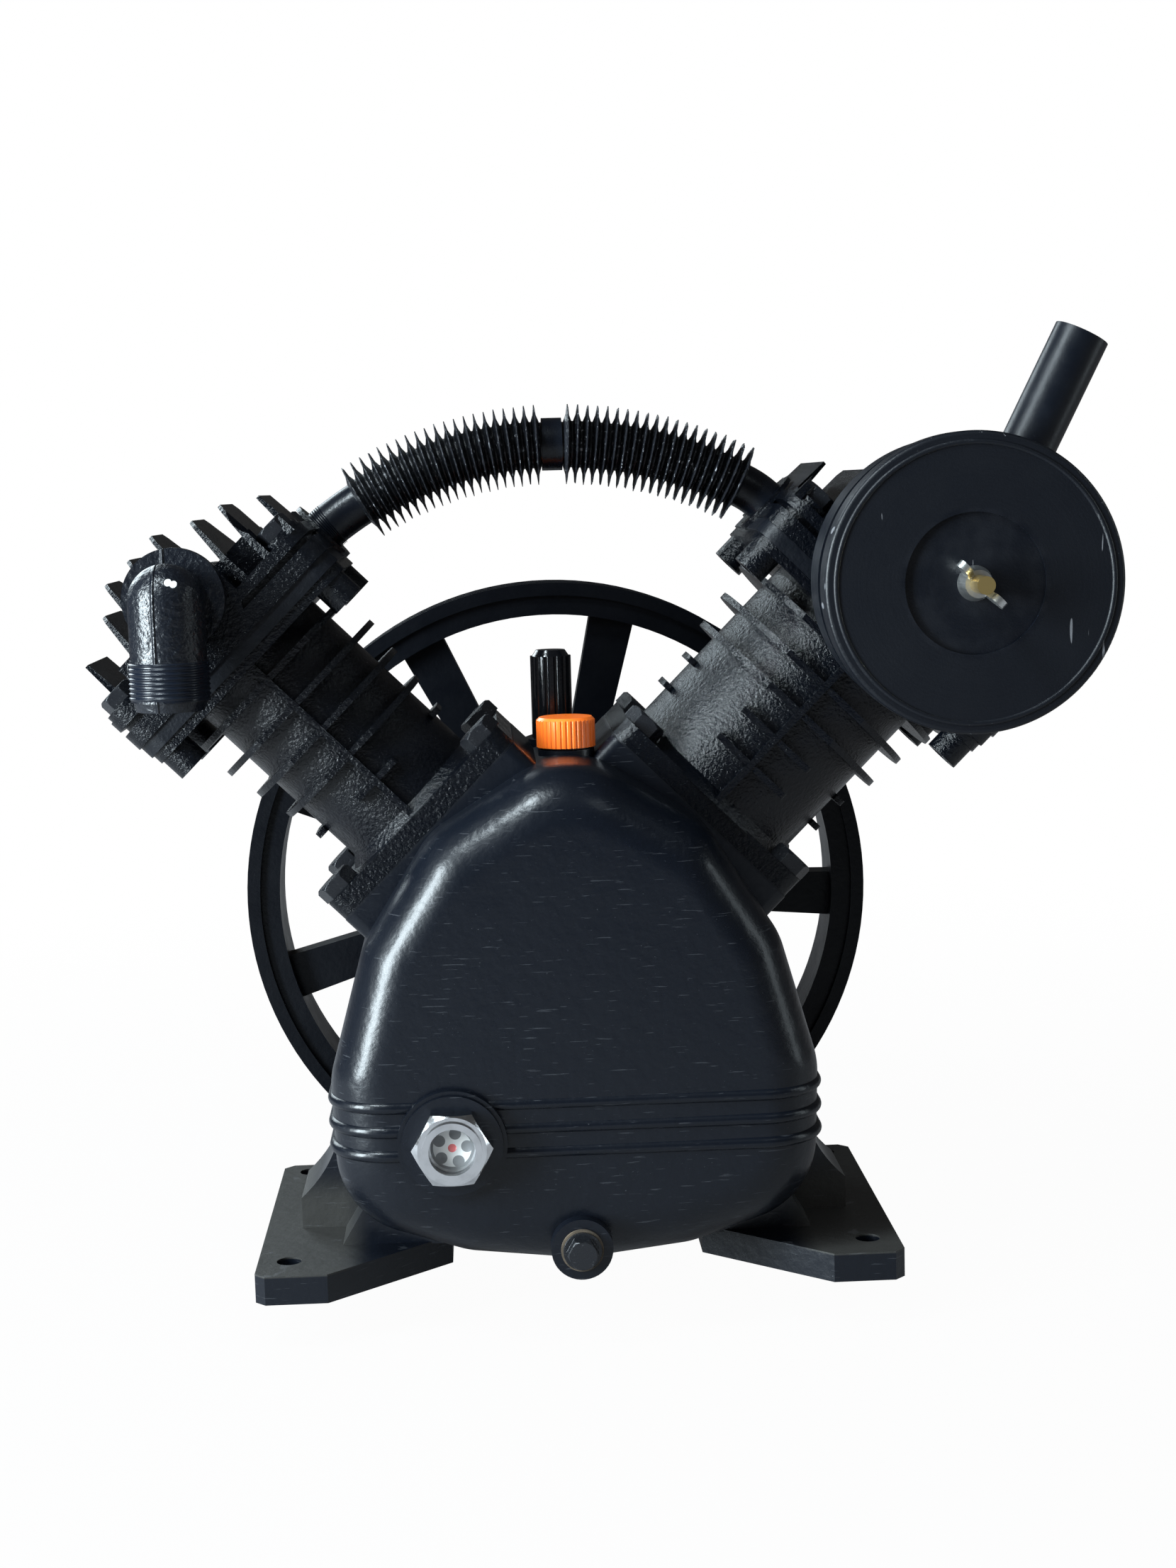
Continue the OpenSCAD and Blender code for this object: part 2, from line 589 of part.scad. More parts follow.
// An oval outline: wide across the bank, hardly proud of the barrel fore and aft
module fin_oval(s, share) {
    half_v = share * base_half_v;
    half_y = barrel(s) / 2 + 3.5;
    scale_r = half_v - half_y;
    if (scale_r > 0) {
        intersection() {
            square([2 * half_v, 2 * half_y], center = true);
            union() for (m = [-1, 1]) translate([m * scale_r * 0.5, 0]) circle(half_v - scale_r * 0.5);
        }
    } else circle(half_v);
}
module cylinder_casting(s) {
    r = barrel(s) / 2;
    low_fins = s == SMALL ? 1 : 2;
    bank(s) difference() {
        union() {
            translate([0, 0, pad_u + gasket_t]) round_block(2 * base_half_v, 2 * base_half_y, 8, base_flange_t);
            translate([0, 0, bore_in_u]) cylinder(h = pad_u, d = spigot(s));
            translate([0, 0, pad_u + gasket_t]) cylinder(h = deck_u - pad_u - gasket_t, r = r);
            translate([0, 0, flange_top_u - over]) cylinder(h = 5 + over, r1 = r + 5 + over, r2 = r);
            for (i = [0:4]) translate([0, 0, fin_u + i * fin_pitch - fin_t / 2]) {
                if (i < low_fins) {
                    for (m = [-1, 1]) translate([0, m * r, 0]) linear_extrude(fin_t)
                        round_rect(s == SMALL ? 28 : 46, 7, 1.5);
                    for (m = [-1, 1]) translate([m * (r + stub_reach), 0, 0]) linear_extrude(fin_t)
                        round_rect(6, 24, 1.5);
                } else linear_extrude(fin_t) fin_oval(s, fin_shares(s)[i]);
            }
            for (m = [-1, 1]) translate([-1.6, m * (r + 1.6) - 2.4, flange_top_u])
                cube([3.2, 4.8, deck_u - flange_top_u]);
            translate([0, 0, top_flange_u]) round_block(2 * head_v(s) - 4, 2 * head_y(s) - 4, 12, top_flange_t);
            head_bolt_places(s) translate([0, 0, top_flange_u - lug_l]) cylinder(h = lug_l + over, r = lug_r);
        }
        translate([0, 0, bore_in_u - over]) cylinder(h = deck_u, r = bore(s) / 2);
        bolt_places(bolt_v, bolt_y) translate([0, 0, pad_u]) {
            cylinder(h = base_flange_t + 3 * over, d = bolt_d + 2 * free_fit);
            translate([0, 0, gasket_t + base_flange_t]) cylinder(h = bolt_head_h + 3, d = bolt_af * 1.3);
        }
        head_bolt_places(s) translate([0, 0, top_flange_u - lug_l - over])
            cylinder(h = top_flange_t + lug_l + 2 * over, d = head_bolt_d + 2 * seat_fit);
    }
}
module small_cylinder() color(BLACK) cylinder_casting(SMALL);
module large_cylinder() color(BLACK) cylinder_casting(LARGE);
module base_gaskets() color("#5a4a38") for (s = [SMALL, LARGE]) bank(s) translate([0, 0, pad_u]) difference() {
    round_block(2 * base_half_v, 2 * base_half_y, 8, gasket_t);
    translate([0, 0, -over]) cylinder(h = gasket_t + 2 * over, d = spigot(s) + 2 * seat_fit);
    bolt_places(bolt_v, bolt_y) translate([0, 0, -over]) cylinder(h = gasket_t + 2 * over, d = bolt_d + 2 * free_fit);
}
module cylinder_bolts() color("#2b2e33") for (s = [SMALL, LARGE]) bank(s) bolt_places(bolt_v, bolt_y)
    translate([0, 0, flange_top_u]) hex_bolt(bolt_af, bolt_d, bolt_head_h, base_flange_t + gasket_t + 20);

// Six head bolts: one at each corner and one in the middle of each long side
module head_bolt_places(s) {
    for (i = [-1, 1], j = [-1, 1]) translate([i * (head_v(s) - 12), j * (head_y(s) - 12), 0]) children();
}
bore_gap = 2;
module gasket_plate(s, h) {
    difference() {
        round_block(2 * head_v(s) - 2, 2 * head_y(s) - 2, 12, h);
        head_bolt_places(s) translate([0, 0, -over]) cylinder(h = h + 2 * over, d = head_bolt_d + 2 * free_fit);
        children();
    }
}
port_v = 0.45;
port_r = 5;
module valve_ports(s, h) {
    for (m = [-1, 1], y = [-1, 0, 1]) translate([m * bore(s) / 2 * port_v, y * (2 * port_r + 3), -over])
        cylinder(h = h + 2 * over, r = port_r);
}
module valve_plate(s) color("#7d8187") bank(s) translate([0, 0, plate_u])
    gasket_plate(s, valve_plate_t) valve_ports(s, valve_plate_t);
module small_valve_plate() valve_plate(SMALL);
module large_valve_plate() valve_plate(LARGE);
reed_t = 0.6;
reed_w = 13;
module reed(l) {
    linear_extrude(reed_t) round_rect(reed_w, l, reed_w / 2 - 0.5);
}
// The outlet reed lies on the plate, the inlet reed under it
module valve_reeds() color("#9fb0c4") for (s = [SMALL, LARGE]) bank(s) {
    l = 4 * port_r + 18;
    translate([bore(s) / 2 * port_v, 0, plate_u + valve_plate_t]) reed(l);
    translate([-bore(s) / 2 * port_v, 0, plate_u - reed_t]) reed(l);
}
module head_gaskets() color("#5a4a38") for (s = [SMALL, LARGE]) bank(s) for (u = [deck_u, head_u - gasket_t])
    translate([0, 0, u]) gasket_plate(s, gasket_t) translate([0, 0, -over])
        cylinder(h = gasket_t + 2 * over, r = bore(s) / 2 + bore_gap);

// Places of the head fins across the bank and their heights, as shares of the head's half length
// and of the tallest fin; the first lies outwards
small_head_fins_shares = [[0.84, 0.58], [0.5, 0.79], [0.33, 1], [0.09, 1], [-0.15, 1],
    [-0.44, 0.8], [-0.667, 0.7], [-0.909, 0.48]];
large_head_fins_shares = [[0.9, 0.5], [0.7, 0.72], [0.5, 0.9], [0.3, 1], [0.1, 1], [-0.1, 1], [-0.3, 1],
    [-0.5, 0.9], [-0.72, 0.7], [-0.95, 0.45]];
function head_fins(s) = s == SMALL ? small_head_fins_shares : large_head_fins_shares;
chamber_half = 23;
groove_u = 9;
groove_h = 3;
groove_d = 3;
port_d = 22;
boss_h = 3;
fin_tip_share = 0.26;
// A fin that thins towards its tip and falls away fore and aft
module head_fin(s, share, high) {
    h = head_fin_h * high;
    y = head_y(s) - 1;
    slope = min(h * 0.55, y * 0.6);
    translate([share * head_v(s), 0, 0]) intersection() {
        translate([head_fin_t, 0, 0]) rotate([0, -90, 0]) linear_extrude(2 * head_fin_t)
            polygon([[-over, -y], [h * 0.35, -y + 2], [h - 3, -y + slope], [h, -y + slope + 5],
                [h, y - slope - 5], [h - 3, y - slope], [h * 0.35, y - 2], [-over, y]]);
        along_y(-y, y) polygon([[-head_fin_t * 0.6, -over], [head_fin_t * 0.6, -over],
            [head_fin_t * fin_tip_share, h], [-head_fin_t * fin_tip_share, h]]);
    }
}
module head_casting(s) bank(s) {
    v = head_v(s);
    y = head_y(s);
    difference() {
        union() {
            translate([0, 0, head_u]) difference() {
                round_block(2 * v, 2 * y, 12, head_base_t);
                translate([0, 0, groove_u]) difference() {
                    translate([-v - over, -y - over, 0]) cube([2 * v + 2 * over, 2 * y + 2 * over, groove_h]);
                    translate([0, 0, -over]) round_block(2 * v - 2 * groove_d, 2 * y - 2 * groove_d, 10, groove_h + 2 * over);
                }
            }
            translate([0, 0, head_deck_u]) {
                for (f = head_fins(s)) head_fin(s, f[0], f[1]);
                along_y(-y, y) {
                    translate([-chamber_half, -over]) square([2 * chamber_half, chamber_h - chamber_half + over]);
                    translate([0, chamber_h - chamber_half]) circle(chamber_half);
                }
                translate([-v * 0.7, -y * 0.6, -over]) cube([v * 1.4, y * 1.2, chamber_h * 0.6]);
                head_bolt_places(s) translate([0, 0, -over]) cylinder(h = boss_h + over, r = head_bolt_af / 2 + 3);
            }
            translate([-v + over, tube_y - s * bank_y, tube_u]) rotate([0, -90, 0]) cylinder(h = 2.5, r = tube_d / 2 + 6);
        }
        translate([0, 0, port_u]) rod_y(-y - over, -y + 26, port_d / 2);
        for (m = [-1, 1]) translate([(m * 0.36 - 0.3) * v, -y * 0.55, head_u - over])
            cube([v * 0.6, y * 1.1, head_base_t + chamber_h * 0.3]);
        translate([-v, tube_y - s * bank_y, tube_u]) {
            rotate([0, 90, 0]) cylinder(h = v * 0.5, r = tube_d / 2 - tube_wall);
            rotate([0, -90, 0]) cylinder(h = 2 * over + 2.5, r = tube_d / 2 + 2 * seat_fit);
        }
        head_bolt_places(s) translate([0, 0, head_u - over]) {
            cylinder(h = head_base_t + boss_h + 2 * over, d = head_bolt_d + 2 * free_fit);
            translate([0, 0, head_base_t + boss_h + over]) cylinder(h = head_fin_h, r = head_bolt_af / 2 + 3);
        }
    }
}
module small_head() color(BLACK) head_casting(SMALL);
module large_head() color(BLACK) head_casting(LARGE);
head_stack = top_flange_t + 2 * gasket_t + valve_plate_t + head_base_t + boss_h;
module head_bolts() color("#2b2e33") for (s = [SMALL, LARGE]) bank(s) head_bolt_places(s) {
    translate([0, 0, head_deck_u + boss_h]) hex_bolt(head_bolt_af, head_bolt_d, head_bolt_h, head_stack + lug_l - 1);
}

// The intercooler leaves each head square to its side, bends in a tight elbow and runs over
// in a wide arc whose crown lies on the pump's middle plane
function tube_t(s) = (tube_u - head_v(s)) / sqrt(2);
crown_z = (tube_u + large_head_v) / sqrt(2) + tube_rise;
function wide_r(s, a) = (tube_t(s) - elbow_bend_r * (sin(bank_angle) - sin(a))) / sin(a);
function climb(s, a) = elbow_bend_r * (cos(a) - cos(bank_angle)) + wide_r(s, a) * (1 - cos(a));
// Halving search for the slope at which the elbow meets the wide arc
function slope_of(s, lo, hi, n) = n == 0 ? (lo + hi) / 2 :
    let (a = (lo + hi) / 2) climb(s, a) < crown_z - (tube_u + head_v(s)) / sqrt(2)
        ? slope_of(s, a, hi, n - 1) : slope_of(s, lo, a, n - 1);
module side_of(s) {
    translate([0, tube_y, axis_h + crown_z]) mirror([s == SMALL ? 1 : 0, 0, 0]) children();
}
// An arc of pipe from angle a0 to a1 off the vertical
module pipe_arc(r, a0, a1) {
    rotate([90, 0, 0]) rotate([0, 0, 90 - a1]) rotate_extrude(angle = a1 - a0) translate([r, 0]) difference() {
        circle(tube_d / 2);
        circle(tube_d / 2 - tube_wall);
    }
}
// The two halves of the tube stop just short of each other inside a sleeve
module intercooler_tube() color("#2a2c31") for (s = [SMALL, LARGE]) side_of(s) {
    r = wide_r(s, slope_of(s, 5, bank_angle - 1, 30));
    translate([0, 0, -r]) pipe_arc(r, asin(joint_gap / r), slope_of(s, 5, bank_angle - 1, 30));
}
module intercooler_elbows() color("#2a2c31") for (s = [SMALL, LARGE]) side_of(s) {
    a = slope_of(s, 5, bank_angle - 1, 30);
    reach = wide_r(s, a) - elbow_bend_r;
    translate([reach * sin(a), 0, reach * cos(a) - wide_r(s, a)]) pipe_arc(elbow_bend_r, a, bank_angle);
}
module intercooler_sleeve() color("#202226") side_of(LARGE) translate([-sleeve_l / 2, 0, 0])
    rotate([0, 90, 0]) ring(tube_d / 2 + 2, tube_d / 2 + 3 * seat_fit, sleeve_l);
bare_l = 15;
module tube_fin_row(s) {
    a = slope_of(s, 5, bank_angle - 1, 30);
    r = wide_r(s, a);
    mid = asin((sleeve_l / 2 + tube_fin_t) / r);
    end = a - (s == SMALL ? bare_l / r * 180 / PI : 0);
    count = floor((end - mid) * PI / 180 * r / tube_fin_pitch);
    side_of(s) for (i = [0:count]) translate([0, 0, -r]) rotate([0, mid + i * (end - mid) / count, 0])
        translate([-tube_fin_t / 2, 0, r]) rotate([0, 90, 0]) ring(tube_fin_d / 2, tube_d / 2 + seat_fit, tube_fin_t);
}
module intercooler_fins_left() color("#202226") tube_fin_row(SMALL);
module intercooler_fins_right() color("#202226") tube_fin_row(LARGE);

elbow_out = 32;
elbow_drop = 26;
elbow_y = small_front - elbow_out;
elbow_flange_r = 24;
elbow_flange_t = 7;
dome_h = 17.5;
elbow_top = filter_z + dome_h;
thread_top = filter_z - elbow_drop;
nose_h = 4.5;
module discharge_elbow() color(BLACK) translate([-filter_x, 0, 0]) difference() {
    union() {
        translate([0, elbow_y, thread_top]) cylinder(h = filter_z - thread_top, d = elbow_d);
        translate([0, elbow_y, filter_z]) sphere(elbow_d / 2);
        translate([0, elbow_y, thread_top - discharge_l]) cylinder(h = discharge_l, d = discharge_d);
        translate([0, elbow_y, thread_top - discharge_l - nose_h])
            cylinder(h = nose_h, d1 = discharge_d - 5, d2 = discharge_d - 2);
        translate([0, 0, filter_z]) {
            rod_y(elbow_y, small_front - gasket_t, elbow_d / 2 - 2);
            rod_y(small_front - gasket_t - elbow_flange_t, small_front - gasket_t, elbow_flange_r);
        }
    }
    translate([0, elbow_y, thread_top - discharge_l - nose_h - over])
        cylinder(h = filter_z - thread_top + discharge_l + nose_h + over, d = port_d);
    translate([0, 0, filter_z]) rod_y(elbow_y, small_front, port_d / 2);
}
module elbow_gasket() color("#5a4a38") translate([-filter_x, 0, filter_z])
    ring_y(small_front - gasket_t, small_front, elbow_flange_r, port_d / 2);

lip_l = 15;
roll_r = 2;
pan_r = filter_r - sheet_t - free_fit;
pan_front = filter_face + 2 * roll_r + free_fit;
intake_y = filter_face + filter_depth / 2;
// The weld at the root of the intake pipe, which ends clear of the cover's rim
weld_rise = 0.6;
neck_r = 14;
neck_flange_r = 20;
neck_flange_t = 5;
module in_filter() { translate([filter_x, 0, filter_z]) children(); }
module lean_pipe(r0, r1, r, y = intake_y) {
    translate([0, y, 0]) rotate([0, intake_lean, 0]) translate([0, 0, r0]) cylinder(h = r1 - r0, r = r);
}
module filter_housing() color(BLACK) in_filter() difference() {
    union() {
        rod_y(pan_front, filter_back, pan_r);
        rod_y(pan_front + 22, pan_front + 25, pan_r + 1.2);
        rod_y(filter_back - over, large_front - gasket_t, neck_r);
        rod_y(large_front - gasket_t - neck_flange_t, large_front - gasket_t, neck_flange_r);
        lean_pipe(pan_r - 0.8 * sheet_t - 1, filter_r + intake_l, intake_d / 2);
        lean_pipe(pan_r - 0.8 * sheet_t - 1, filter_r + free_fit, intake_d / 2 + weld_rise);
    }
    rod_y(pan_front - over, filter_back - sheet_t, pan_r - sheet_t);
    rod_y(filter_back - 2 * sheet_t, filter_back + 3, neck_r - 2);
    rod_y(filter_back - over, large_front, neck_r - 3);
    lean_pipe(pan_r - 8, filter_r + intake_l + over, intake_d / 2 - sheet_t);
}
element_r = 50;
element_in_r = 34;
module filter_element() color("#c9c2ad") in_filter()
    ring_y(pan_front + 1, filter_back - sheet_t, element_r, element_in_r);
stud_out = 22;
strap_w = 10;
strap_l = 2 * (neck_r + 12);
// The stud stands on a strap that bridges the neck at the back of the pan
module filter_stud() color("#b08d4a") in_filter() {
    rod_y(filter_face - stud_out, filter_back - 1.5 * sheet_t, stud_d / 2);
    translate([-strap_l / 2, filter_back - 2 * sheet_t, -strap_w / 2]) cube([strap_l, sheet_t, strap_w]);
}
module filter_gasket() color("#5a4a38") in_filter() ring_y(large_front - gasket_t, large_front, neck_flange_r, port_d / 2);

dish_r = 33;
dish_depth = 2;
// The pressed cover: a face with a shallow dish and a rolled rim that laps the pan
module filter_cover() color("#1d1f24") in_filter() difference() {
    rotate([90, 0, 0]) rotate_extrude() difference() {
        union() {
            translate([0, -filter_face - sheet_t]) square([filter_r - roll_r, sheet_t]);
            translate([filter_r - sheet_t, -filter_face - lip_l]) square([sheet_t, lip_l - roll_r]);
            translate([filter_r - roll_r, -filter_face - roll_r]) circle(roll_r);
            translate([filter_r - 5, -filter_face - 0.4]) circle(1.3);
            translate([0, -filter_face - sheet_t - dish_depth]) square([dish_r + 1, sheet_t + dish_depth]);
        }
        translate([-1, -filter_face - dish_depth]) square([dish_r + 1 - sheet_t, dish_depth + over]);
        translate([-4 * roll_r, -filter_face - lip_l]) square([4 * roll_r, 2 * lip_l]);
    }
    rod_y(filter_face - over, filter_face + 2 * lip_l, stud_d / 2 + free_fit);
}
nut_seat = filter_face + dish_depth;
wing_span = 27;
// A wing nut: a tapered hub and two rounded ears, standing askew as it was last turned
module wing_nut() color("#b9bcc0") in_filter() rotate([0, 45, 0]) difference() {
    union() {
        translate([0, nut_seat, 0]) rotate([90, 0, 0]) cylinder(h = 9, r1 = 8, r2 = 6.2);
        for (m = [-1, 1]) mirror([m < 0 ? 1 : 0, 0, 0]) translate([0, 0, -1.6]) linear_extrude(3.2) {
            polygon([[4, nut_seat - 2], [8, nut_seat - 5], [wing_span / 2, nut_seat - 12],
                [wing_span / 2 - 1, nut_seat - 17], [8, nut_seat - 14], [4, nut_seat - 8]]);
            translate([wing_span / 2 - 3, nut_seat - 14]) circle(3.6);
        }
    }
    rod_y(nut_seat - 20, nut_seat + over, stud_d / 2 + run_fit);
}

ring_face = sight_front - 9;
lens_y = sight_front - 2;
module sight_ring() color("#d4d6d9") translate([sight_x, 0, sight_z]) difference() {
    union() {
        translate([0, ring_face, 0]) rotate([-90, 0, 0]) intersection() {
            cylinder(h = sight_front - ring_face, d = sight_af / cos(30), $fn = 6);
            cylinder(h = sight_af, r1 = sight_af / 2 - 0.5, r2 = sight_af * 1.5);
        }
        rod_y(ring_face - 2, ring_face + over, sight_af * 0.42);
        rod_y(sight_front - over, sight_front + 12, sight_hole_d / 2 - seat_fit);
    }
    rod_y(ring_face - 3, lens_y, sight_af * 0.33);
    rod_y(lens_y - over, sight_front + 12 + over, sight_hole_d / 2 - 3);
}
module sight_lens() color([0.8, 0.85, 0.9, 0.35]) translate([sight_x, 0, sight_z])
    rod_y(lens_y - 3, lens_y, sight_af * 0.33 - seat_fit);
// A white five-armed disc behind the glass, with a raised dot at its middle
module sight_reflector() color("#e8e8e8") translate([sight_x, 0, sight_z]) {
    r = sight_hole_d / 2 - 3 - seat_fit;
    difference() {
        rod_y(lens_y + 1, lens_y + 2.5, r);
        for (i = [0:4]) rotate([0, i * 72, 0]) translate([0, 0, r * 0.62]) rod_y(lens_y, lens_y + 4, r * 0.24);
    }
    rod_y(lens_y + 0.3, lens_y + 1.1, r * 0.2);
}
module drain_plug() color("#26282c") translate([0, sight_front - 1.5, drain_z]) rotate([90, 0, 0]) {
    hex_bolt(13, drain_d - 2 * seat_fit, 8, 14);
    cylinder(h = 1.5, r = 9);
}
module drain_washer() color("#6c5b3e") translate([0, 0, drain_z]) ring_y(sight_front - 1.5, sight_front, 10, drain_d / 2);
flutes = 14;
module breather() color("#141517") translate([breather_x, breather_y, cap_seat]) {
    difference() {
        cylinder(h = breather_h - 3, d = breather_d);
        for (i = [1:flutes]) rotate([0, 0, i * 360 / flutes]) translate([breather_d / 2 + 0.4, 0, -over])
            cylinder(h = breather_h, r = 1.3);
    }
    translate([0, 0, breather_h - 3 - slice]) cylinder(h = 3, d1 = breather_d - 2, d2 = breather_d - 6);
    translate([0, 0, -10]) cylinder(h = 10 + slice, d = 14 - 2 * seat_fit);
}
ribs = 36;
cap_gap = 1;
module oil_cap() color("#ff7a1c") translate([cap_x, cap_y, cap_seat + cap_gap]) difference() {
    union() {
        cylinder(h = cap_h - 1.5, d = cap_d);
        translate([0, 0, cap_h - 1.5]) cylinder(h = 1.5, d1 = cap_d, d2 = cap_d - 3);
        translate([0, 0, -11]) cylinder(h = 11 + over, d = cap_d * 0.7 - 2 * free_fit);
    }
    for (i = [1:ribs]) rotate([0, 0, i * 360 / ribs]) translate([cap_d / 2 + 0.35, 0, -over]) cylinder(h = cap_h, r = 0.8);
}
module oil_cap_seal() color("#151515") translate([cap_x, cap_y, cap_seat + 0.3])
    ring(cap_d * 0.44, cap_d * 0.35 - free_fit, cap_gap - 0.3);

hub_r = 34;
hub_front = cover_nose + 4;
hub_back = wheel_back - 6;
groove_w = 13;
groove_deep = 11;
spoke_y = wheel_face + 12;
spoke_t = 16;
key_w = 10;
key_h = 8;
module flywheel() color("#1f2226") translate([0, 0, axis_h]) difference() {
    union() {
        rotate([-90, 0, 0]) rotate_extrude($fn = 128) difference() {
            translate([wheel_d / 2 - rim_t, wheel_face]) square([rim_t, rim_w]);
            translate([wheel_d / 2 - rim_t - over, wheel_face - over]) square([rim_t * 0.6 + over, 3 + over]);
            translate([wheel_d / 2 - rim_t - over, wheel_back - 3]) square([rim_t * 0.6 + over, 3 + over]);
            for (i = [1:grooves]) translate([wheel_d / 2, wheel_face + rim_w * (i - 0.5 + (grooves - 2) * 0) / grooves])
                polygon([[over, -groove_w / 2 - 0.3], [over, groove_w / 2 + 0.3], [-groove_deep, groove_w / 2 - 3], [-groove_deep, 3 - groove_w / 2]]);
        }
        rod_y(hub_front, hub_back, hub_r);
        for (i = [0:spokes - 1]) rotate([0, 13 + i * 360 / spokes, 0]) along_y(spoke_y, spoke_y + spoke_t)
            polygon([[-spoke_hub_w / 2, hub_r - 3], [spoke_hub_w / 2, hub_r - 3],
                [spoke_rim_w / 2, wheel_d / 2 - rim_t + 1], [-spoke_rim_w / 2, wheel_d / 2 - rim_t + 1]]);
    }
    rod_y(hub_front - over, hub_back + over, shaft_d / 2 + seat_fit);
    translate([-key_w / 2 - seat_fit, hub_front - over, 0])
        cube([key_w + 2 * seat_fit, hub_back - hub_front + 2 * over, shaft_d / 2 + key_h / 2 + seat_fit]);
}
bolt_hole_d = 12;
hub_washer_t = 4;
hub_bolt_af = 19;
hub_bolt_h = 8;
hub_bolt_l = 26;
key_set = 8;
key_gap = 0.1;
module drive_shaft() color("#9a9da2") translate([0, 0, axis_h]) difference() {
    union() {
        rod_y(web_y + web_t - shaft_seat + 6, web_y + web_t + 4, shaft_d / 2 - 8 - run_fit);
        rod_y(web_y + web_t + 2, bearing_y - 0.3, shaft_d / 2 + 3);
        rod_y(bearing_y - over, hub_back - 2, shaft_d / 2);
    }
    rod_y(hub_back - hub_bolt_l - hub_washer_t, hub_back, bolt_hole_d / 2 + seat_fit);
    translate([-key_w / 2, hub_front + key_set, shaft_d / 2 - key_h / 2])
        cube([key_w, hub_back - hub_front - 2.5 * key_set, key_h]);
}
module shaft_key() color("#70747a") translate([-key_w / 2 + key_gap / 5, hub_front + key_set + key_gap,
    axis_h + shaft_d / 2 - key_h / 2 + key_gap / 5])
    cube([key_w - 0.4 * key_gap, hub_back - hub_front - 2.5 * key_set - 2 * key_gap, key_h - key_gap]);
module hub_washer() color("#8b8f94") translate([0, 0, axis_h])
    ring_y(hub_back, hub_back + hub_washer_t, shaft_d * 0.625, bolt_hole_d / 2 + seat_fit);
module hub_bolt() color("#2b2e33") translate([0, hub_back + hub_washer_t, axis_h]) rotate([-90, 0, 0])
    hex_bolt(hub_bolt_af, bolt_hole_d, hub_bolt_h, hub_bolt_l);

crankcase();
rear_cover();
rear_cover_gasket();
rear_cover_bolts();
front_bearing();
rear_bearing();
oil_seal();
crank_throw();
small_rod();
large_rod();
rod_caps();
rod_bolts();
small_piston();
large_piston();
piston_pins();
piston_rings();
small_cylinder();
large_cylinder();
base_gaskets();
cylinder_bolts();
small_valve_plate();
large_valve_plate();
valve_reeds();
head_gaskets();
small_head();
large_head();
head_bolts();
intercooler_tube();
intercooler_elbows();
intercooler_sleeve();
intercooler_fins_left();
intercooler_fins_right();
discharge_elbow();
elbow_gasket();
filter_housing();
filter_element();
filter_stud();
filter_gasket();
sight_ring();
sight_lens();
sight_reflector();
drain_plug();
drain_washer();
breather();
oil_cap();
oil_cap_seal();
filter_cover();
wing_nut();
flywheel();
drive_shaft();
shaft_key();
hub_washer();
hub_bolt();
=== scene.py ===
"""Looks for the air compressor pump head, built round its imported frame."""

import math

import bpy
import bmesh
import numpy as np
from bpy.props import FloatProperty, FloatVectorProperty, IntProperty, PointerProperty
from bpy.types import Operator, Panel, PropertyGroup
from mathutils import Matrix, Vector


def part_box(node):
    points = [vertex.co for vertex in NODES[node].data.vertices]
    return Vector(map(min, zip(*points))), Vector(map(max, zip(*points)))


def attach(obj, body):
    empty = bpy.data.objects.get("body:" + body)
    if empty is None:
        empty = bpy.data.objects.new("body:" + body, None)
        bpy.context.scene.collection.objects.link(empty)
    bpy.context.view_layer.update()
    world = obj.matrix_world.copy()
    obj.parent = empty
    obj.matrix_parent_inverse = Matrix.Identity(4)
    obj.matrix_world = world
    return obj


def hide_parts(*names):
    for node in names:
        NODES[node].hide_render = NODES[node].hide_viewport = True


bl_info = {
    "name": "Compressor pump looks",
    "version": (1, 0, 0),
    "blender": (4, 5, 0),
    "location": "3D View > Sidebar > Pump",
    "description": "Finishes and fine shapes of a V-twin compressor pump",
    "category": "Object",
}

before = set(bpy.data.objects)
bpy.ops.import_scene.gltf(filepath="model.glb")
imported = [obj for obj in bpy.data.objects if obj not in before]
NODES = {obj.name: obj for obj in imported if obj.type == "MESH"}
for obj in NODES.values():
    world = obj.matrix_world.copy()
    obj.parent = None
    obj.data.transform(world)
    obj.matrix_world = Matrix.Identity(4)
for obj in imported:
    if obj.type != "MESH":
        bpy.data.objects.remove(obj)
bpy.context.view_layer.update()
PUMP = "pump"

# The case outline as the frame holds it: x, height over the crank axis and radius of each corner
AXIS_H = 0.152
CASE_HALF = 0.116
CASE_SHARES = ((0, 0.457, 0.397), (0.328, 0.328, 0.333), (0.534, -0.017, 0.345),
               (0.655, -0.448, 0.345), (0.638, -0.724, 0.353), (0.388, -0.806, 0.353),
               (0, -0.776, 0.427))
CASE_FRONT, CASE_BACK, CASE_FILLET = -0.105, 0.075, 0.028
CASE_CROWN = 0.0008
PORT_U = 0.2555
FILTER_X = PORT_U * math.sqrt(0.5)
FILTER_Z = AXIS_H + FILTER_X
SIGHT = (-0.059, 0.078)
# The intercooler: tube radius, elbow bend, place in Y, and the ports' places along and across a bank
TUBE_R = 0.011
BEND_R = 0.050
TUBE_Y = 0.010
TUBE_U = 0.229
SMALL_V, LARGE_V = 0.066, 0.078
# The sight glass's dial: its radius, and the place and radius of its five dark rounds
DIAL_R = 0.0089
ROUND_AT = 0.0069
ROUND_R = 0.0028
DOT_R = 0.0021
# Black paint shines less than bare plastic, so that the white surround doesn't turn it grey
PAINT_SHINE = 0.32
# The camera that fits the photograph: place, yaw, dip and roll, and focal length over picture width
CAMERA_PLACE = (-0.0359, -1.1758, 0.3797)
CAMERA_TURN = tuple(math.radians(angle) for angle in (2.39, 7.20, 1.565))
FOCAL_SHARE = 3322.0 / 1659.0
SENSOR = 36.0
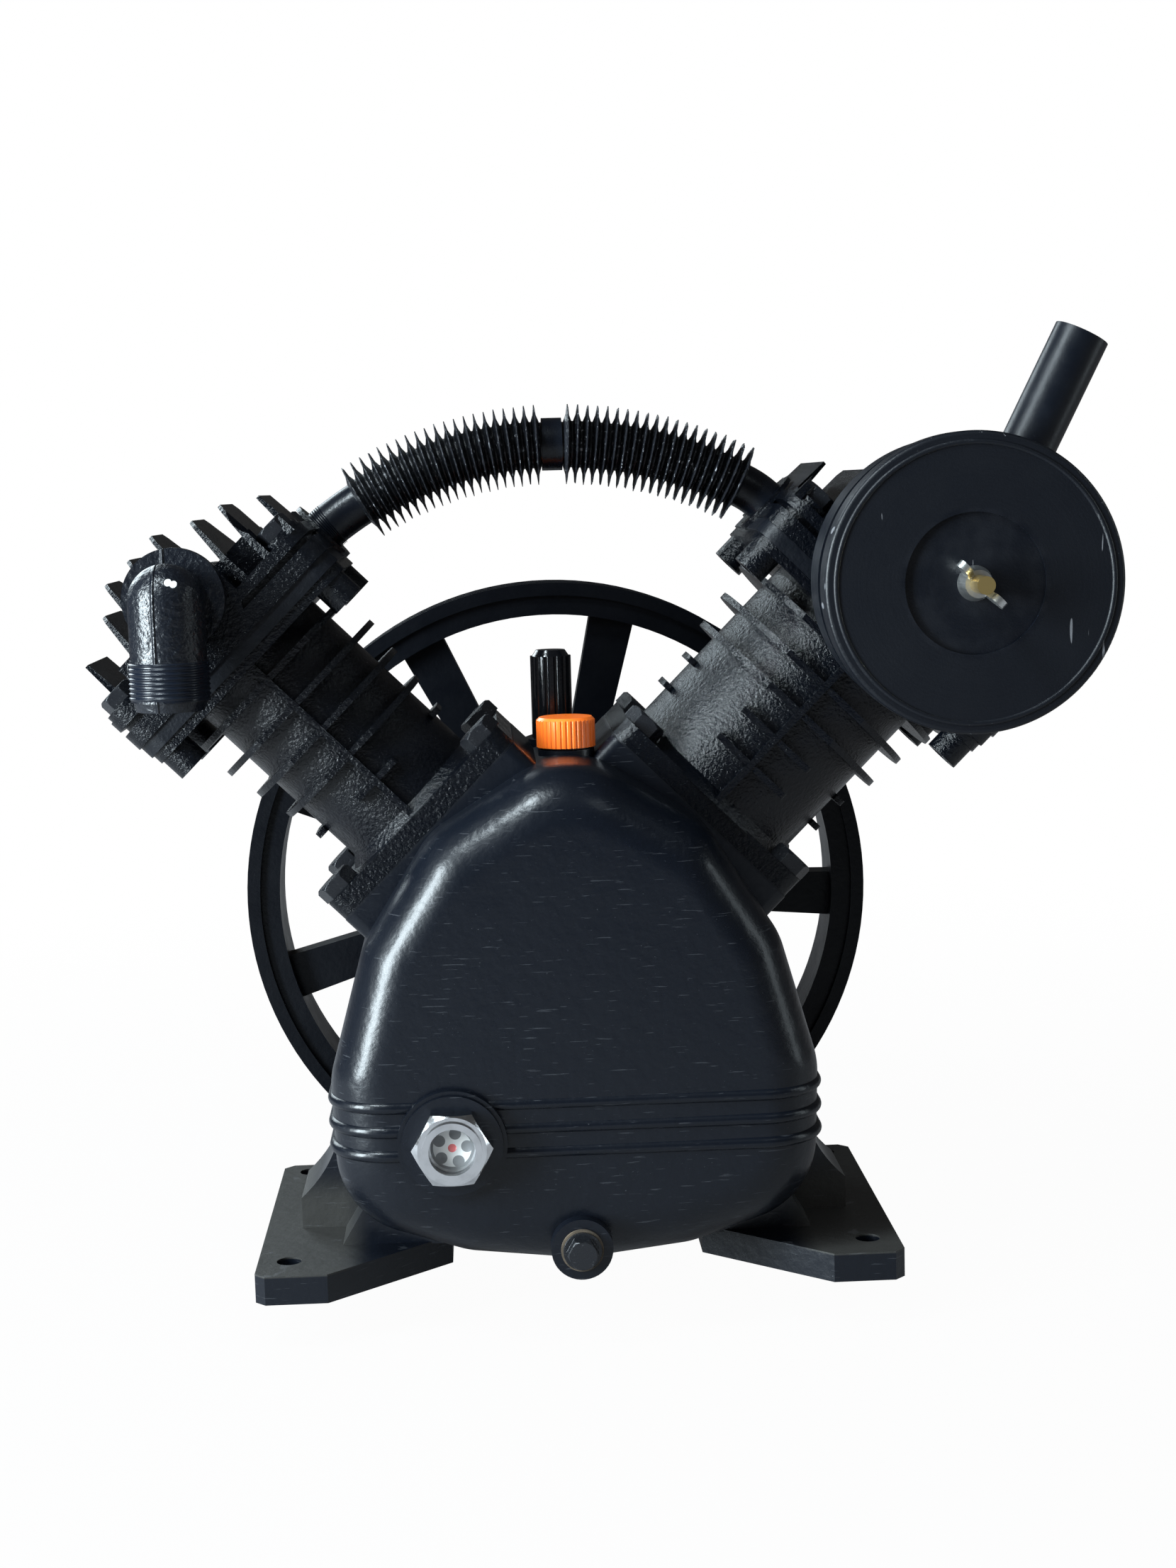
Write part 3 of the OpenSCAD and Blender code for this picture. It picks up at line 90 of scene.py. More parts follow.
# Each lamp: name, the setting it follows and its share of it, place, width and height
LAMPS = (("left_strip", "key", 1.0, (-1.40, -0.80, 0.45), 0.42, 1.30),
         ("right_strip", "fill", 0.45, (1.45, -0.25, 0.55), 0.30, 1.20),
         ("front_soft", "fill", 0.14, (0.75, -1.30, 1.75), 0.5, 0.5),
         ("top_soft", "fill", 1.9, (-0.62, -0.55, 1.35), 0.26, 0.26),
         ("back_soft", "fill", 1.6, (-0.90, 1.30, 0.95), 0.8, 0.8))
LAMP_COLOUR = (0.82, 0.94, 1.0)
LAMP_AIM = Vector((0, 0, 0.22))


class FinishSettings(PropertyGroup):
    """Colours that a user would change."""
    paint: FloatVectorProperty(name="Casting paint", description="Colour of the painted castings",
                               subtype="COLOR", size=3, default=(0.0026, 0.0038, 0.0068), min=0, max=1)
    cap: FloatVectorProperty(name="Filler cap", description="Colour of the filler cap",
                             subtype="COLOR", size=3, default=(1.0, 0.19, 0.018), min=0, max=1)


class DetailSettings(PropertyGroup):
    """Sizes of the fine shapes."""
    thread_pitch: FloatProperty(name="Thread pitch", description="Pitch of the discharge thread",
                                subtype="DISTANCE", unit="LENGTH", default=0.0022, min=0.001, max=0.004)
    fin_pitch: FloatProperty(name="Fin pitch", description="Spacing of the tube's wound fins",
                             subtype="DISTANCE", unit="LENGTH", default=0.0045, min=0.003, max=0.008)
    fin_reach: FloatProperty(name="Fin reach", description="Height of the wound fins over the tube",
                             subtype="DISTANCE", unit="LENGTH", default=0.0078, min=0.004, max=0.009)
    wrinkles: IntProperty(name="Wrinkles", description="Bending wrinkles in the tube's bare end",
                          default=6, min=0, max=12)


class StageSettings(PropertyGroup):
    """Levels of the lamps and the world."""
    key: FloatProperty(name="Key lamp", description="Power of the lamp at the upper left",
                       subtype="POWER", unit="POWER", default=98.0, min=0, max=400)
    fill: FloatProperty(name="Fill lamp", description="Power of the lamp at the right",
                        subtype="POWER", unit="POWER", default=8.0, min=0, max=400)
    world: FloatProperty(name="World light", description="Strength of the even light from all round",
                         subtype="FACTOR", default=0.46, min=0, max=2)


class Value:
    """A shader socket that takes part in Python sums; each operator adds one Math node."""

    def __init__(self, shader, socket):
        self.shader = shader
        self.socket = socket

    def __add__(self, other):
        return self.shader.math("ADD", self, other)

    __radd__ = __add__

    def __sub__(self, other):
        return self.shader.math("SUBTRACT", self, other)

    def __rsub__(self, other):
        return self.shader.math("SUBTRACT", other, self)

    def __mul__(self, other):
        return self.shader.math("MULTIPLY", self, other)

    __rmul__ = __mul__

    def above(self, low, high):
        """0 below low, 1 over high and a smooth rise between."""
        return self.shader.node("ShaderNodeMapRange", {"interpolation_type": "SMOOTHSTEP"},
                                {"Value": self, "From Min": low, "From Max": high}, "Result")


class Shader:
    """One node material with a Principled shader."""

    def __init__(self, name):
        self.material = bpy.data.materials.new(name)
        self.material.use_nodes = True
        self.tree = self.material.node_tree
        self.tree.nodes.clear()
        self.out = self.tree.nodes.new("ShaderNodeOutputMaterial")
        self.skin = self.tree.nodes.new("ShaderNodeBsdfPrincipled")
        self.tree.links.new(self.skin.outputs[0], self.out.inputs[0])
        self._place = None

    def feed(self, socket, value):
        if isinstance(value, Value):
            self.tree.links.new(value.socket, socket)
        elif hasattr(socket.default_value, "__len__"):
            socket.default_value = (*value, 1.0)[:len(socket.default_value)]
        else:
            socket.default_value = value

    def node(self, kind, settings, inputs, output=0):
        made = self.tree.nodes.new(kind)
        for key, value in settings.items():
            setattr(made, key, value)
        for key, value in inputs.items():
            self.feed(made.inputs[key], value)
        return Value(self, made.outputs[output])

    def math(self, operation, a, b=0.5, c=0.5):
        return self.node("ShaderNodeMath", {"operation": operation}, {0: a, 1: b, 2: c})

    def set(self, **inputs):
        for key, value in inputs.items():
            self.feed(self.skin.inputs[key.replace("_", " ")], value)
        return self

    @property
    def place(self):
        if self._place is None:
            self._place = self.node("ShaderNodeTexCoord", {}, {}, "Object")
        return self._place

    def noise(self, size, detail=3.0, rough=0.55):
        """Cloudy grain whose blobs are about size metres across."""
        inputs = {"Vector": self.place, "Scale": 1.0 / size, "Detail": detail, "Roughness": rough}
        return self.node("ShaderNodeTexNoise", {}, inputs, "Fac")

    def scratches(self, turn, stretch, scale, detail):
        """Cloudy grain squeezed across one turned direction, so that it reads as thin parallel marks."""
        drawn = self.node("ShaderNodeMapping", {}, {"Vector": self.place, "Rotation": turn, "Scale": stretch})
        return self.node("ShaderNodeTexNoise", {}, {"Vector": drawn, "Scale": scale, "Detail": detail}, "Fac")

    def cells(self, size):
        """Distance to the middle of the nearest of many cells, each about size metres across."""
        return self.node("ShaderNodeTexVoronoi", {}, {"Vector": self.place, "Scale": 1.0 / size}, "Distance")

    def distance(self, u, w):
        """Length of the flat vector u, w."""
        return self.math("SQRT", u * u + w * w)

    def axis(self, name):
        split = self.tree.nodes.new("ShaderNodeSeparateXYZ")
        self.feed(split.inputs[0], self.place)
        return Value(self, split.outputs[name])

    def mix(self, amount, a, b):
        return self.node("ShaderNodeMix", {"data_type": "RGBA"}, {0: amount, 6: a, 7: b}, 2)

    def bump(self, height, depth, edge=0.0):
        """Relief of the given depth, over edges rounded by the given radius."""
        inputs = {"Height": height, "Distance": depth, "Strength": 1.0}
        if edge:
            inputs["Normal"] = self.node("ShaderNodeBevel", {"samples": 4}, {"Radius": edge}, "Normal")
        self.set(Normal=self.node("ShaderNodeBump", {}, inputs, "Normal"))
        return self


def material(name, recipe, **facts):
    """A material made once by its recipe and kept by name."""
    found = bpy.data.materials.get(name)
    return found or recipe(Shader(name), **facts).material


def painted(s, depth=0.00022, rough=0.36, worn=0.5, shade=1.0):
    """Semi-gloss paint over cast metal: grain in the relief and the gloss, specks and rubbed edges."""
    colour = tuple(bpy.context.scene.pump_finish.paint)
    colour = tuple(c * shade for c in colour)
    fine = s.noise(0.0016, 4, 0.6)
    coarse = s.noise(0.009, 3, 0.55)
    specks = s.noise(0.0011, 2, 0.6).above(0.70, 0.78)
    # Paler patches of dust, about 30 mm across
    paler_patch = s.noise(0.030, 5, 0.65).above(0.55, 0.75)
    light = tuple(min(1.0, c * 5 + 0.012) for c in colour)
    body = s.mix(paler_patch * 0.35, colour, tuple(c * 1.8 + 0.002 for c in colour))
    s.set(Base_Color=s.mix(specks * 0.55 * worn, body, light),
          Roughness=rough + (coarse - 0.5) * 0.22 + specks * 0.2, Specular_IOR_Level=PAINT_SHINE)
    return s.bump(fine * 0.9 + s.cells(0.0030) * 0.25 + coarse * 0.12, depth)


def smooth_paint(s):
    """The case's smoother paint: a slow orange peel, faint scratches and small bright specks."""
    colour = tuple(bpy.context.scene.pump_finish.paint)
    peel = s.noise(0.006, 2, 0.5)
    lines = s.scratches((0.3, 0.5, 0.9), (1, 1, 16), 70.0, 3.0).above(0.66, 0.70)
    specks = s.noise(0.0010, 2, 0.6).above(0.72, 0.80)
    cloud = s.noise(0.045, 4, 0.6)
    marks = lines * 0.12 + specks * 0.30
    # Painted light on the tops of the feet, outside the case's own walls: a paler colour in a cloud, and a
    # rougher gloss
    aside = s.math("ABSOLUTE", s.axis("X")).above(0.100, 0.118)
    height = s.axis("Z")
    over_feet = height.above(0.0128, 0.0136) * (1.0 - height.above(0.026, 0.045))
    paler_patch = over_feet * aside * (0.75 + cloud * 0.5)
    body = s.mix(paler_patch, colour, (0.024, 0.0235, 0.022))
    s.set(Base_Color=s.mix(marks, body, (0.16, 0.17, 0.19)),
          Roughness=0.30 + (cloud - 0.5) * 0.16 + marks * 0.3 + paler_patch * 0.25,
          Specular_IOR_Level=PAINT_SHINE, Coat_Weight=0.06, Coat_Roughness=0.16)
    return s.bump(peel * 1.0 + s.noise(0.0013, 3, 0.6) * 0.20, 0.00028)


def bright_metal(s, colour=(0.62, 0.63, 0.65), rough=0.22, tarnish=0.35, grain=0.00005):
    """Bare or plated metal with cloudy tarnish and fine scratches."""
    cloud = s.noise(0.006, 5, 0.6)
    scratch = s.noise(0.0007, 3, 0.6)
    s.set(Base_Color=s.mix(cloud.above(0.42, 0.72) * tarnish, colour, tuple(c * 0.45 for c in colour)),
          Metallic=1.0, Roughness=rough + (cloud - 0.5) * 0.22 + (scratch - 0.5) * 0.10)
    return s.bump(scratch * 0.6 + cloud * 0.4, grain)


def moulded(s, colour=(0.02, 0.02, 0.022), rough=0.32, grain=0.00006, coat=0.0, tone=1.5):
    """Moulded plastic or rubber: a faint mould grain and uneven gloss."""
    cloud = s.noise(0.012, 4, 0.6)
    s.set(Base_Color=s.mix(cloud * 0.5, colour, tuple(min(1.0, c * tone) for c in colour)),
          Roughness=rough + (cloud - 0.5) * 0.16, Coat_Weight=coat, Coat_Roughness=0.12)
    return s.bump(s.noise(0.0012, 3, 0.6), grain)


def cap_plastic(s):
    """The filler cap's moulded plastic, in the colour of the settings."""
    return moulded(s, tuple(bpy.context.scene.pump_finish.cap), rough=0.30, tone=0.8, coat=0.15)


def dark_bolt(s):
    """Black oxide steel, rubbed bright at its corners."""
    cloud = s.noise(0.004, 4, 0.6)
    rub = s.noise(0.0018, 4, 0.7).above(0.60, 0.74)
    s.set(Base_Color=s.mix(rub * 0.5, (0.012, 0.013, 0.016), (0.16, 0.165, 0.175)), Metallic=0.35,
          Roughness=0.26 + (cloud - 0.5) * 0.2, Specular_IOR_Level=0.6)
    return s.bump(s.noise(0.0009, 3, 0.6) + cloud * 0.5, 0.00008, 0.0005)


def fibre(s, colour=(0.10, 0.075, 0.05)):
    """Pressed gasket sheet: short fibres, darker where oil has crept in."""
    fibres = s.node("ShaderNodeTexNoise", {}, {"Vector": s.place, "Scale": 900.0, "Detail": 3.0}, "Fac")
    oil = s.noise(0.012, 3, 0.6)
    s.set(Base_Color=s.mix(oil.above(0.4, 0.62), colour, tuple(c * 0.45 for c in colour)), Roughness=0.85)
    return s.bump(fibres, 0.0001)


def pleats(s):
    """Filter paper: fine pleats round the element's axis, paler on their crests and darker in the folds."""
    x, z = s.axis("X") - FILTER_X, s.axis("Z") - FILTER_Z
    turn = s.math("ARCTAN2", z, x)
    fold = s.math("SINE", turn * 60.0)
    s.set(Base_Color=s.mix(fold * 0.5 + 0.5, (0.42, 0.38, 0.28), (0.68, 0.64, 0.52)), Roughness=0.9)
    return s.bump(fold, 0.0008)


def spiky_fins(s):
    """Crimped fin strip in black paint, with painted highlights: bright sparkles scattered at random in its
    colour.
    """
    spark = s.noise(0.0022, 3, 0.7).above(0.62, 0.70)
    s.set(Base_Color=s.mix(spark * 0.75, (0.010, 0.011, 0.014), (0.50, 0.52, 0.56)),
          Roughness=0.34 + spark * 0.1, Specular_IOR_Level=PAINT_SHINE)
    return s.bump(s.noise(0.0016, 3, 0.6), 0.0005)


def pressed_cover(s):
    """Satin pressed sheet: faint turning rings, light scratches and small chips at the rim."""
    x, z = s.axis("X") - FILTER_X, s.axis("Z") - FILTER_Z
    radius = s.distance(x, z)
    rings = s.node("ShaderNodeTexNoise", {"noise_dimensions": "1D"}, {"W": radius, "Scale": 700.0}, "Fac")
    lines = s.scratches((0, 2.3, 0), (9, 1, 1), 42.0, 1.0).above(0.745, 0.765)
    chips = s.noise(0.0018, 3, 0.7).above(0.68, 0.74) * radius.above(0.0610, 0.0655)
    dish = 1.0 - radius.above(0.0325, 0.0345)
    haze = s.noise(0.022, 3, 0.6).above(0.35, 0.7)
    marks = lines * 0.30 + chips * 0.5 + dish * haze * 0.012
    s.set(Base_Color=s.mix(marks, (0.0026, 0.0036, 0.0062), (0.42, 0.43, 0.46)),
          Roughness=0.40 - dish * 0.10 + (s.noise(0.03, 4, 0.6) - 0.5) * 0.16 + rings * 0.04,
          Specular_IOR_Level=PAINT_SHINE)
    return s.bump(rings * 0.4 + s.noise(0.0011, 3, 0.6) * 1.2, 0.00009)


def float_dial(s):
    """The sight glass's dial: a white star left by five dark rounds, in a black sealing ring."""
    x, z = s.axis("X") - SIGHT[0], s.axis("Z") - SIGHT[1]
    dark = s.distance(x, z).above(DIAL_R - 0.0001, DIAL_R + 0.0001)
    for i in range(5):
        turn = math.radians(77.5 + 72.0 * i)
        u, w = x - ROUND_AT * math.cos(turn), z - ROUND_AT * math.sin(turn)
        hole = 1.0 - s.distance(u, w).above(ROUND_R - 0.00008, ROUND_R + 0.00008)
        dark = s.math("MAXIMUM", dark, hole)
    s.set(Base_Color=s.mix(dark, (0.62, 0.62, 0.60), (0.020, 0.022, 0.026)), Roughness=0.42)
    return s.bump(s.noise(0.0015, 2, 0.5), 0.00003)


def clear_lens(s):
    """Clear sight glass: the light goes through it, with a gloss on its face."""
    s.set(Base_Color=(0.95, 0.97, 0.98), Roughness=0.05, IOR=1.45, Transmission_Weight=0.0,
          Alpha=0.10 + s.noise(0.004, 2, 0.5) * 0.05, Specular_IOR_Level=0.8)
    return s.bump(s.noise(0.003, 2, 0.5), 0.00002)


def wheel_paint(s):
    """Wheel enamel: glossier than the case, with dust lying in it."""
    cloud = s.noise(0.02, 5, 0.6)
    s.set(Base_Color=s.mix(cloud * 0.6, (0.0010, 0.0014, 0.0026), (0.0030, 0.0036, 0.0050)),
          Roughness=0.33 + (cloud - 0.5) * 0.22, Specular_IOR_Level=0.16)
    return s.bump(s.noise(0.003, 3, 0.6), 0.0002)


def elbow_paint(s):
    """Thick orange-peel paint on the domed elbow, with its parting line and one chip down to white primer."""
    colour = tuple(bpy.context.scene.pump_finish.paint)
    x, z = s.axis("X") + FILTER_X, s.axis("Z")
    peel = s.noise(0.0032, 2, 0.5)
    fine = s.noise(0.0011, 3, 0.6)
    parting = 1.0 - s.math("ABSOLUTE", x + 0.0040).above(0.0002, 0.0011)
    # The chip: two small round lobes that run together downwards
    left = s.distance(x - 0.0030, z - 0.3420)
    right = s.distance(x - 0.0054, z - 0.3412)
    front = 1.0 - s.axis("Y").above(-0.104, -0.100)
    chip = (1.0 - s.math("MINIMUM", left, right).above(0.0014, 0.0018)) * front
    body = s.mix(fine.above(0.62, 0.74) * 0.25, colour, (0.10, 0.11, 0.12))
    s.set(Base_Color=s.mix(chip, body, (0.86, 0.87, 0.86)), Roughness=0.30 + (fine - 0.5) * 0.2 + chip * 0.4,
          Specular_IOR_Level=0.5)
    return s.bump(peel * 1.0 + fine * 0.25 + parting * 0.9 - chip * 0.8, 0.0007)


FINISHES = {
    "case_paint": (smooth_paint, {}),
    "head_paint": (painted, dict(depth=0.0007, rough=0.17, worn=1.0, shade=0.5)),
    "barrel_paint": (painted, dict(depth=0.0007, rough=0.16, worn=1.0, shade=0.5)),
    "plate_paint": (painted, dict(depth=0.00025, rough=0.42, worn=1.4, shade=0.8)),
    "elbow_paint": (elbow_paint, {}),
    "thread_metal": (painted, dict(depth=0.00006, rough=0.24, worn=1.0, shade=1.6)),
    "tube_enamel": (painted, dict(depth=0.00012, rough=0.28, worn=0.5)),
    "fin_strip": (spiky_fins, {}),
    "wheel_enamel": (wheel_paint, {}),
    "black_bolt": (dark_bolt, {}),
    "ground_steel": (bright_metal, dict(colour=(0.56, 0.57, 0.58), rough=0.24)),
    "cast_alloy": (bright_metal, dict(colour=(0.66, 0.67, 0.69), rough=0.38, grain=0.0002)),
    "grey_iron": (bright_metal, dict(colour=(0.22, 0.22, 0.225), rough=0.48, grain=0.00025)),
    "wing_zinc": (bright_metal, dict(colour=(0.70, 0.71, 0.70), rough=0.34, tarnish=0.3, grain=0.0001)),
    "nickel": (bright_metal, dict(colour=(0.74, 0.745, 0.76), rough=0.16, tarnish=0.25)),
    "brass": (bright_metal, dict(colour=(0.40, 0.32, 0.16), rough=0.34, tarnish=0.8)),
    "gasket_sheet": (fibre, {}),
    "seal_rubber": (moulded, dict(colour=(0.012, 0.012, 0.013), rough=0.55)),
    "breather_plastic": (moulded, dict(colour=(0.003, 0.0035, 0.005), rough=0.14, coat=0.2, tone=1.3)),
    "cap_plastic": (cap_plastic, {}),
    "white_plastic": (moulded, dict(colour=(0.80, 0.80, 0.78), rough=0.35, tone=0.92)),
    "red_dot": (moulded, dict(colour=(0.62, 0.010, 0.008), rough=0.30)),
    "pan_sheet": (painted, dict(depth=0.00007, rough=0.34, worn=0.6)),
    "cover_sheet": (pressed_cover, {}),
    "filter_paper": (pleats, {}),
    "sight_glass": (clear_lens, {}),
    "float_dial": (float_dial, {}),
}
NODE_FINISH = {
    "case_paint": "crankcase",
    "head_paint": "small_head large_head rear_cover",
    "barrel_paint": "small_cylinder large_cylinder",
    "elbow_paint": "discharge_elbow",
    "tube_enamel": "intercooler_tube intercooler_elbows intercooler_sleeve",
    "fin_strip": "intercooler_fins_left intercooler_fins_right",
    "wheel_enamel": "flywheel",
    "black_bolt": "cylinder_bolts head_bolts rear_cover_bolts drain_plug hub_bolt",
    "ground_steel": "front_bearing rear_bearing rod_bolts piston_pins valve_reeds drive_shaft shaft_key "
                    "hub_washer",
    "plate_paint": "small_valve_plate large_valve_plate base_gaskets head_gaskets elbow_gasket filter_gasket",
    "cast_alloy": "small_rod large_rod rod_caps small_piston large_piston",
    "grey_iron": "crank_throw piston_rings",
    "wing_zinc": "wing_nut",
    "nickel": "sight_ring",
    "brass": "filter_stud",
    "gasket_sheet": "rear_cover_gasket drain_washer",
    "seal_rubber": "oil_seal oil_cap_seal",
    "breather_plastic": "breather",
    "cap_plastic": "oil_cap",
    "white_plastic": "sight_reflector",
    "pan_sheet": "filter_housing",
    "cover_sheet": "filter_cover",
    "filter_paper": "filter_element",
    "sight_glass": "sight_lens",
}


def finish_of(name):
    recipe, facts = FINISHES[name]
    return material(name, recipe, **facts)


def dress(obj, finish):
    """The finish on every slot of the object."""
    made = finish_of(finish)
    if not obj.data.materials:
        obj.data.materials.append(made)
    for i in range(len(obj.data.materials)):
        obj.data.materials[i] = made
    return obj


def grid_mesh(name, points, smooth=True):
    """A mesh from a grid of points, rows by columns, whose last column joins its first."""
    rows, cols = points.shape[:2]
    index = np.arange(rows * cols).reshape(rows, cols)
    a, b = index[:-1], index[1:]
    quads = np.stack([a, b, np.roll(b, -1, 1), np.roll(a, -1, 1)], -1)
    mesh = bpy.data.meshes.new(name)
    mesh.from_pydata(points.reshape(-1, 3), [], quads.reshape(-1, 4).tolist())
    mesh.polygons.foreach_set("use_smooth", np.full(len(mesh.polygons), smooth))
    mesh.update()
    return mesh


def piece(name, mesh, finish, merge):
    """A finished piece: doubles merged, faces outward, its finish on, riding on the pump's body."""
    work = bmesh.new()
    work.from_mesh(mesh)
    bmesh.ops.remove_doubles(work, verts=work.verts, dist=merge)
    bmesh.ops.recalc_face_normals(work, faces=work.faces)
    work.to_mesh(mesh)
    work.free()
    obj = bpy.data.objects.new(name, mesh)
    bpy.context.scene.collection.objects.link(obj)
    dress(obj, finish)
    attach(obj, PUMP)
    return obj


class PUMP_OT_discharge_thread(Operator):
    """The fine screw thread on the discharge elbow's nose"""
    bl_idname = "pump.discharge_thread"
    bl_label = "Discharge thread"

    def execute(self, context):
        pitch = context.scene.pump_detail.thread_pitch
        x, y, z0, z1, radius, ridge = -FILTER_X, -0.095, 0.2880, 0.3058, 0.01790, 0.00060
        # A helix wound on the nose, sunk at both ends: r(z, a) = radius + ridge wave^1.5,
        # with wave = (1 + cos(2 pi z / pitch - a)) / 2
        z = np.linspace(z0, z1, 220)[:, None]
        a = np.linspace(0, 2 * math.pi, 72, endpoint=False)[None, :]
        ends = np.clip(np.minimum(z - z0, z1 - z) / 0.0008, 0, 1)
        wave = 0.5 + 0.5 * np.cos(2 * math.pi * z / pitch - a)
        r = radius - 0.00008 + (ridge * wave ** 1.5 + 0.0001) * ends
        points = np.stack([x + r * np.cos(a), y + r * np.sin(a), z + 0 * a], -1)
        piece("discharge_thread", grid_mesh("discharge_thread", points), "thread_metal", 1e-7)
        return {"FINISHED"}


def bend_of(side_v, tube_u, bend, crown):
    """Slope and radius of the wide arc that meets an elbow of the given bend, found by halving."""
    low, high = math.radians(5), math.radians(44)
    reach = (tube_u - side_v) / math.sqrt(2)
    for _ in range(30):
        a = (low + high) / 2
        wide = (reach - bend * (math.sin(math.pi / 4) - math.sin(a))) / math.sin(a)
        climb = bend * (math.cos(a) - math.cos(math.pi / 4)) + wide * (1 - math.cos(a))
        if climb < crown - (tube_u + side_v) / math.sqrt(2):
            low = a
        else:
            high = a
    return a, wide


class PUMP_OT_tube_wrinkles(Operator):
    """Bending wrinkles on the bare end of the intercooler tube by the small head"""
    bl_idname = "pump.tube_wrinkles"
    bl_label = "Tube wrinkles"

    def execute(self, context):
        count = context.scene.pump_detail.wrinkles
        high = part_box("intercooler_tube")[1]
        crown = high[2] - TUBE_R - AXIS_H
        bend = BEND_R
        a, wide = bend_of(SMALL_V, TUBE_U, bend, crown)
        reach = wide - bend
        centre = np.array([-reach * math.sin(a), TUBE_Y, AXIS_H + crown + reach * math.cos(a) - wide])
        # A bent pipe: P(p, b) = centre + (bend + r cos b) d(p) + r sin b Y, where d(p) points p off the
        # vertical and r = 11 mm plus ridges that slant round the pipe and fade at the two ends
        p = np.linspace(a + 0.02, math.pi / 4 - 0.02, 260)[:, None]
        b = np.linspace(0, 2 * math.pi, 64, endpoint=False)[None, :]
        t = (p - p.min()) / (p.max() - p.min())
        slant = 0.33 * np.abs(((b / math.pi + 0.5) % 2.0) - 1.0)
        wave = np.abs(((t * count + slant) % 1.0) * 2.0 - 1.0)
        rise = np.clip(np.minimum(t, 1 - t) / 0.08, 0, 1)
        r = 0.01103 + 0.0009 * wave ** 3 * rise * (0.65 - 0.35 * np.cos(b))
        along = bend + r * np.cos(b)
        x, z = centre[0] - along * np.sin(p), centre[2] + along * np.cos(p)
        points = np.stack([x, centre[1] + r * np.sin(b), z], -1)
        piece("tube_wrinkles", grid_mesh("tube_wrinkles", points), "tube_enamel", 1e-7)
        return {"FINISHED"}


def arc_frame(side):
    """Centre, radius and end slope of the wide arc on one side: -1 for the small head, 1 for the large."""
    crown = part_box("intercooler_tube")[1][2] - TUBE_R - AXIS_H
    slope, wide = bend_of(SMALL_V if side < 0 else LARGE_V, TUBE_U, BEND_R, crown)
    return AXIS_H + crown - wide, wide, slope


class PUMP_OT_tube_fins(Operator):
    """The wound fins of the intercooler tube, thick at the root and ragged at the tip"""
    bl_idname = "pump.tube_fins"
    bl_label = "Tube fins"

    def execute(self, context):
        detail = context.scene.pump_detail
        for side, name, bare in ((-1, "intercooler_fins_left", 0.015), (1, "intercooler_fins_right", 0.0)):
            centre_z, wide, slope = arc_frame(side)
            start, stop = 0.0054 / wide, slope - bare / wide
            count = int((stop - start) * wide / detail.fin_pitch)
            # Along the arc, fin n has five stations whose radius goes root, flank, tip, flank, root:
            # P(p, b) = centre + (wide + r cos b) d(p) + r sin b Y, with a small ragged wave at the tip
            station = np.array([-0.42, -0.16, -0.045, 0.045, 0.16, 0.42])
            share = np.array([0.0, 0.42, 1.0, 1.0, 0.42, 0.0])
            n = np.arange(count)
            p = (start + (n[:, None] + 0.5 + station[None, :]) * (stop - start) / count).reshape(-1, 1)
            share = np.tile(share, count)[:, None]
            b = np.linspace(0, 2 * math.pi, 72, endpoint=False)[None, :]
            fin = np.repeat(n, len(station))[:, None]
            ragged = 0.00045 * np.sin(9 * b + 2.1 * fin) + 0.0003 * np.sin(23 * b + 5.3 * fin)
            r = 0.0115 + share * (detail.fin_reach + ragged)
            along = wide + r * np.cos(b)
            x, z = side * along * np.sin(p), centre_z + along * np.cos(p)
            points = np.stack([x, TUBE_Y + r * np.sin(b), z], -1)
            mesh = grid_mesh(name + "_wound", points, smooth=False)
            made = piece(name + "_wound", mesh, "fin_strip", 1e-7)
            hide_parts(name)
        return {"FINISHED"}


def case_rim(angles, inset):
    """Farthest points of the case outline towards each angle, shrunk about its middle by the inset."""
    shares = np.array([(m * x, z, r) for m in (1, -1) for x, z, r in CASE_SHARES]) * CASE_HALF
    cos, sin = np.cos(angles)[:, None], np.sin(angles)[:, None]
    reach = shares[:, 0] * cos + shares[:, 1] * sin + shares[:, 2]
    best = shares[np.argmax(reach, 1)]
    middle, shrink = -0.173 * CASE_HALF, 1 - inset / CASE_HALF
    x = (best[:, 0] + best[:, 2] * np.cos(angles)) * shrink
    z = AXIS_H + middle + (best[:, 1] - middle + best[:, 2] * np.sin(angles)) * shrink
    return x, z


class PUMP_OT_case_skin(Operator):
    """The smooth painted skin of the case: a pillow front that rolls into straight flanks"""
    bl_idname = "pump.case_skin"
    bl_label = "Case skin"

    def execute(self, context):
        angles = np.arange(0, 360, 1.0) * math.pi / 180
        proud = 0.00012
        # P(k, t): the rim point at angle t, drawn in by fillet (1 - cos k) while y goes from the shoulder to
        # the front by fillet sin k; the flank runs straight back, and the front closes in by shrinking rims
        rows = []
        for share in (0.0, 0.35, 0.65, 0.85, 1.0):
            inner = case_rim(angles, CASE_FILLET)
            middle = (float(np.mean(inner[0])), float(np.mean(inner[1])))
            x = middle[0] + (inner[0] - middle[0]) * share
            z = middle[1] + (inner[1] - middle[1]) * share
            rows.append((x, z, CASE_FRONT - proud - CASE_CROWN * (1 - share ** 2)))
        for k in np.linspace(math.pi / 2, 0, 24)[1:]:
            x, z = case_rim(angles, CASE_FILLET - (CASE_FILLET + proud) * math.cos(k))
            rows.append((x, z, CASE_FRONT + CASE_FILLET - (CASE_FILLET + proud) * math.sin(k)))
        x, z = case_rim(angles, -proud)
        rows.append((x, z, CASE_BACK - 0.0004))
        points = np.stack([np.stack([x, 0 * x + y, z], -1) for x, z, y in rows])
        mesh = grid_mesh("case_skin", points)
        piece("case_skin", mesh, "case_paint", 1e-6)
        return {"FINISHED"}


